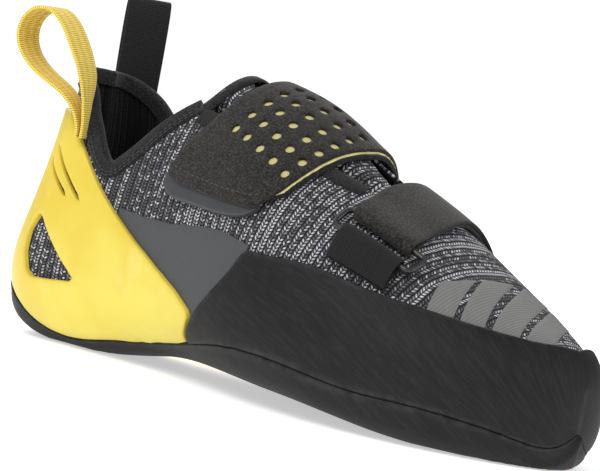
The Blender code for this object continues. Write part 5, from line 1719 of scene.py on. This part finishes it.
def anchor_point(girth, share):
    """(u, w) on the ring's anchor, at a girth and a share of its width from the rear edge."""
    ends = [spline([row.girth for row in rows], [row.along for row in rows], False)(girth)
            for rows in (ANCHOR_REAR, ANCHOR_FRONT)]
    rear, front = map(float, ends)
    return float(share_to_u(rear + (front - rear) * share)), 2 - girth


def camera_axes():
    """Right, up and back of the picture's camera."""
    a, e, r = map(math.radians, (CAMERA_AZIMUTH, CAMERA_ELEVATION, CAMERA_ROLL))
    back = Vector((math.sin(a) * math.cos(e), -math.cos(a) * math.cos(e), math.sin(e)))
    right = Vector((math.cos(a), math.sin(a), 0))
    up = back.cross(right)
    return right * math.cos(r) + up * math.sin(r), up * math.cos(r) - right * math.sin(r), back


def floor_finish():
    """White paper sweep; a little of its own light keeps the shadow faint."""
    g = Graph("floor_white")
    g.put(g.shader.inputs["Emission Color"], (1, 1, 1))
    return g.finish((0.86, 0.86, 0.86), 0.9, Specular_IOR_Level=0.0, Emission_Strength=0.50)


def add_light(name, place_at, aim, size, power):
    data = bpy.data.lights.new(name, "AREA")
    data.shape = "RECTANGLE"
    data.size, data.size_y = size
    data.energy = power
    lamp = bpy.data.objects.new(name, data)
    lamp.location = place_at
    lamp.rotation_mode = "QUATERNION"
    lamp.rotation_quaternion = (Vector(aim) - Vector(place_at)).to_track_quat("-Z", "Y")
    bpy.context.collection.objects.link(lamp)
    return lamp


class SHOE_OT_stage(Operator):
    """Pale floor, soft lights and the camera"""

    bl_idname = "shoe.stage"
    bl_label = "Stage"

    def execute(self, context):
        scene = context.scene
        mesh = bpy.data.meshes.new("floor")
        signs = ((-1, -1), (1, -1), (1, 1), (-1, 1))
        corners = [(FLOOR_REACH * x, FLOOR_REACH * y, -FLOOR_DEPTH) for x, y in signs]
        mesh.from_pydata(corners, [], [(0, 1, 2, 3)])
        mesh.materials.append(floor_finish())
        floor = bpy.data.objects.new("floor", mesh)
        scene.collection.objects.link(floor)
        right, up, back = camera_axes()
        aim = Vector(CAMERA_AIM)
        data = bpy.data.cameras.new("picture")
        data.sensor_width = 36.0
        data.lens = CAMERA_LENS
        data.shift_x = -CAMERA_SHIFT_PX[0] / FRAME_WIDTH_PX
        data.shift_y = CAMERA_SHIFT_PX[1] / FRAME_WIDTH_PX
        data.clip_start, data.clip_end = 0.05, 30.0
        camera = bpy.data.objects.new("picture", data)
        turn = Matrix((right, up, back)).transposed().to_4x4()
        camera.matrix_world = Matrix.Translation(aim + back * CAMERA_DISTANCE) @ turn
        scene.collection.objects.link(camera)
        scene.camera = camera
        for lamp in LAMPS:
            spot = aim + right * lamp.right + Vector((0, 0, lamp.up)) + back * lamp.back
            add_light(lamp.name, spot, aim, lamp.size, lamp.power)
        world = bpy.data.worlds.new("studio")
        world.use_nodes = True
        nodes, links = world.node_tree.nodes, world.node_tree.links
        ground = nodes["Background"]
        ground.inputs["Color"].default_value = (1, 1, 1, 1)
        ray = nodes.new("ShaderNodeLightPath")
        mirror_share = nodes.new("ShaderNodeMix")
        mirror_share.inputs[2].default_value = SKY_LIGHT
        mirror_share.inputs[3].default_value = SKY_REFLECTED
        blend = nodes.new("ShaderNodeMix")
        blend.inputs[3].default_value = SKY_SEEN
        links.new(ray.outputs["Is Glossy Ray"], mirror_share.inputs[0])
        links.new(mirror_share.outputs[0], blend.inputs[2])
        links.new(ray.outputs["Is Camera Ray"], blend.inputs[0])
        links.new(blend.outputs[0], ground.inputs["Strength"])
        scene.world = world
        scene.view_settings.view_transform = "Standard"
        return {"FINISHED"}


class SHOE_PT_sidebar(Panel):
    """Lists the shoe's pieces and its finish"""

    bl_idname = "SHOE_PT_sidebar"
    bl_label = "Climbing shoe"
    bl_space_type = "VIEW_3D"
    bl_region_type = "UI"
    bl_category = "Shoe"

    def draw(self, context):
        for name in ShoeLook.__annotations__:
            self.layout.prop(context.scene.shoe_look, name)
        for operator in OPERATORS:
            self.layout.operator(operator.bl_idname)


OPERATORS = (SHOE_OT_upper, SHOE_OT_rubber, SHOE_OT_films, SHOE_OT_instep_strap, SHOE_OT_ring_strap,
             SHOE_OT_bindings, SHOE_OT_pull_loops, SHOE_OT_stitches, SHOE_OT_stage)
CLASSES = (ShoeLook, *OPERATORS, SHOE_PT_sidebar)


def register():
    for item in CLASSES:
        bpy.utils.register_class(item)
    bpy.types.Scene.shoe_look = PointerProperty(type=ShoeLook)


def unregister():
    del bpy.types.Scene.shoe_look
    for item in reversed(CLASSES):
        bpy.utils.unregister_class(item)


def main():
    register()
    bpy.ops.shoe.upper()
    bpy.ops.shoe.rubber()
    bpy.ops.shoe.films()
    bpy.ops.shoe.instep_strap()
    bpy.ops.shoe.ring_strap()
    bpy.ops.shoe.bindings()
    bpy.ops.shoe.pull_loops()
    bpy.ops.shoe.stitches()
    bpy.ops.shoe.stage()


if __name__ == "__main__":
    main()
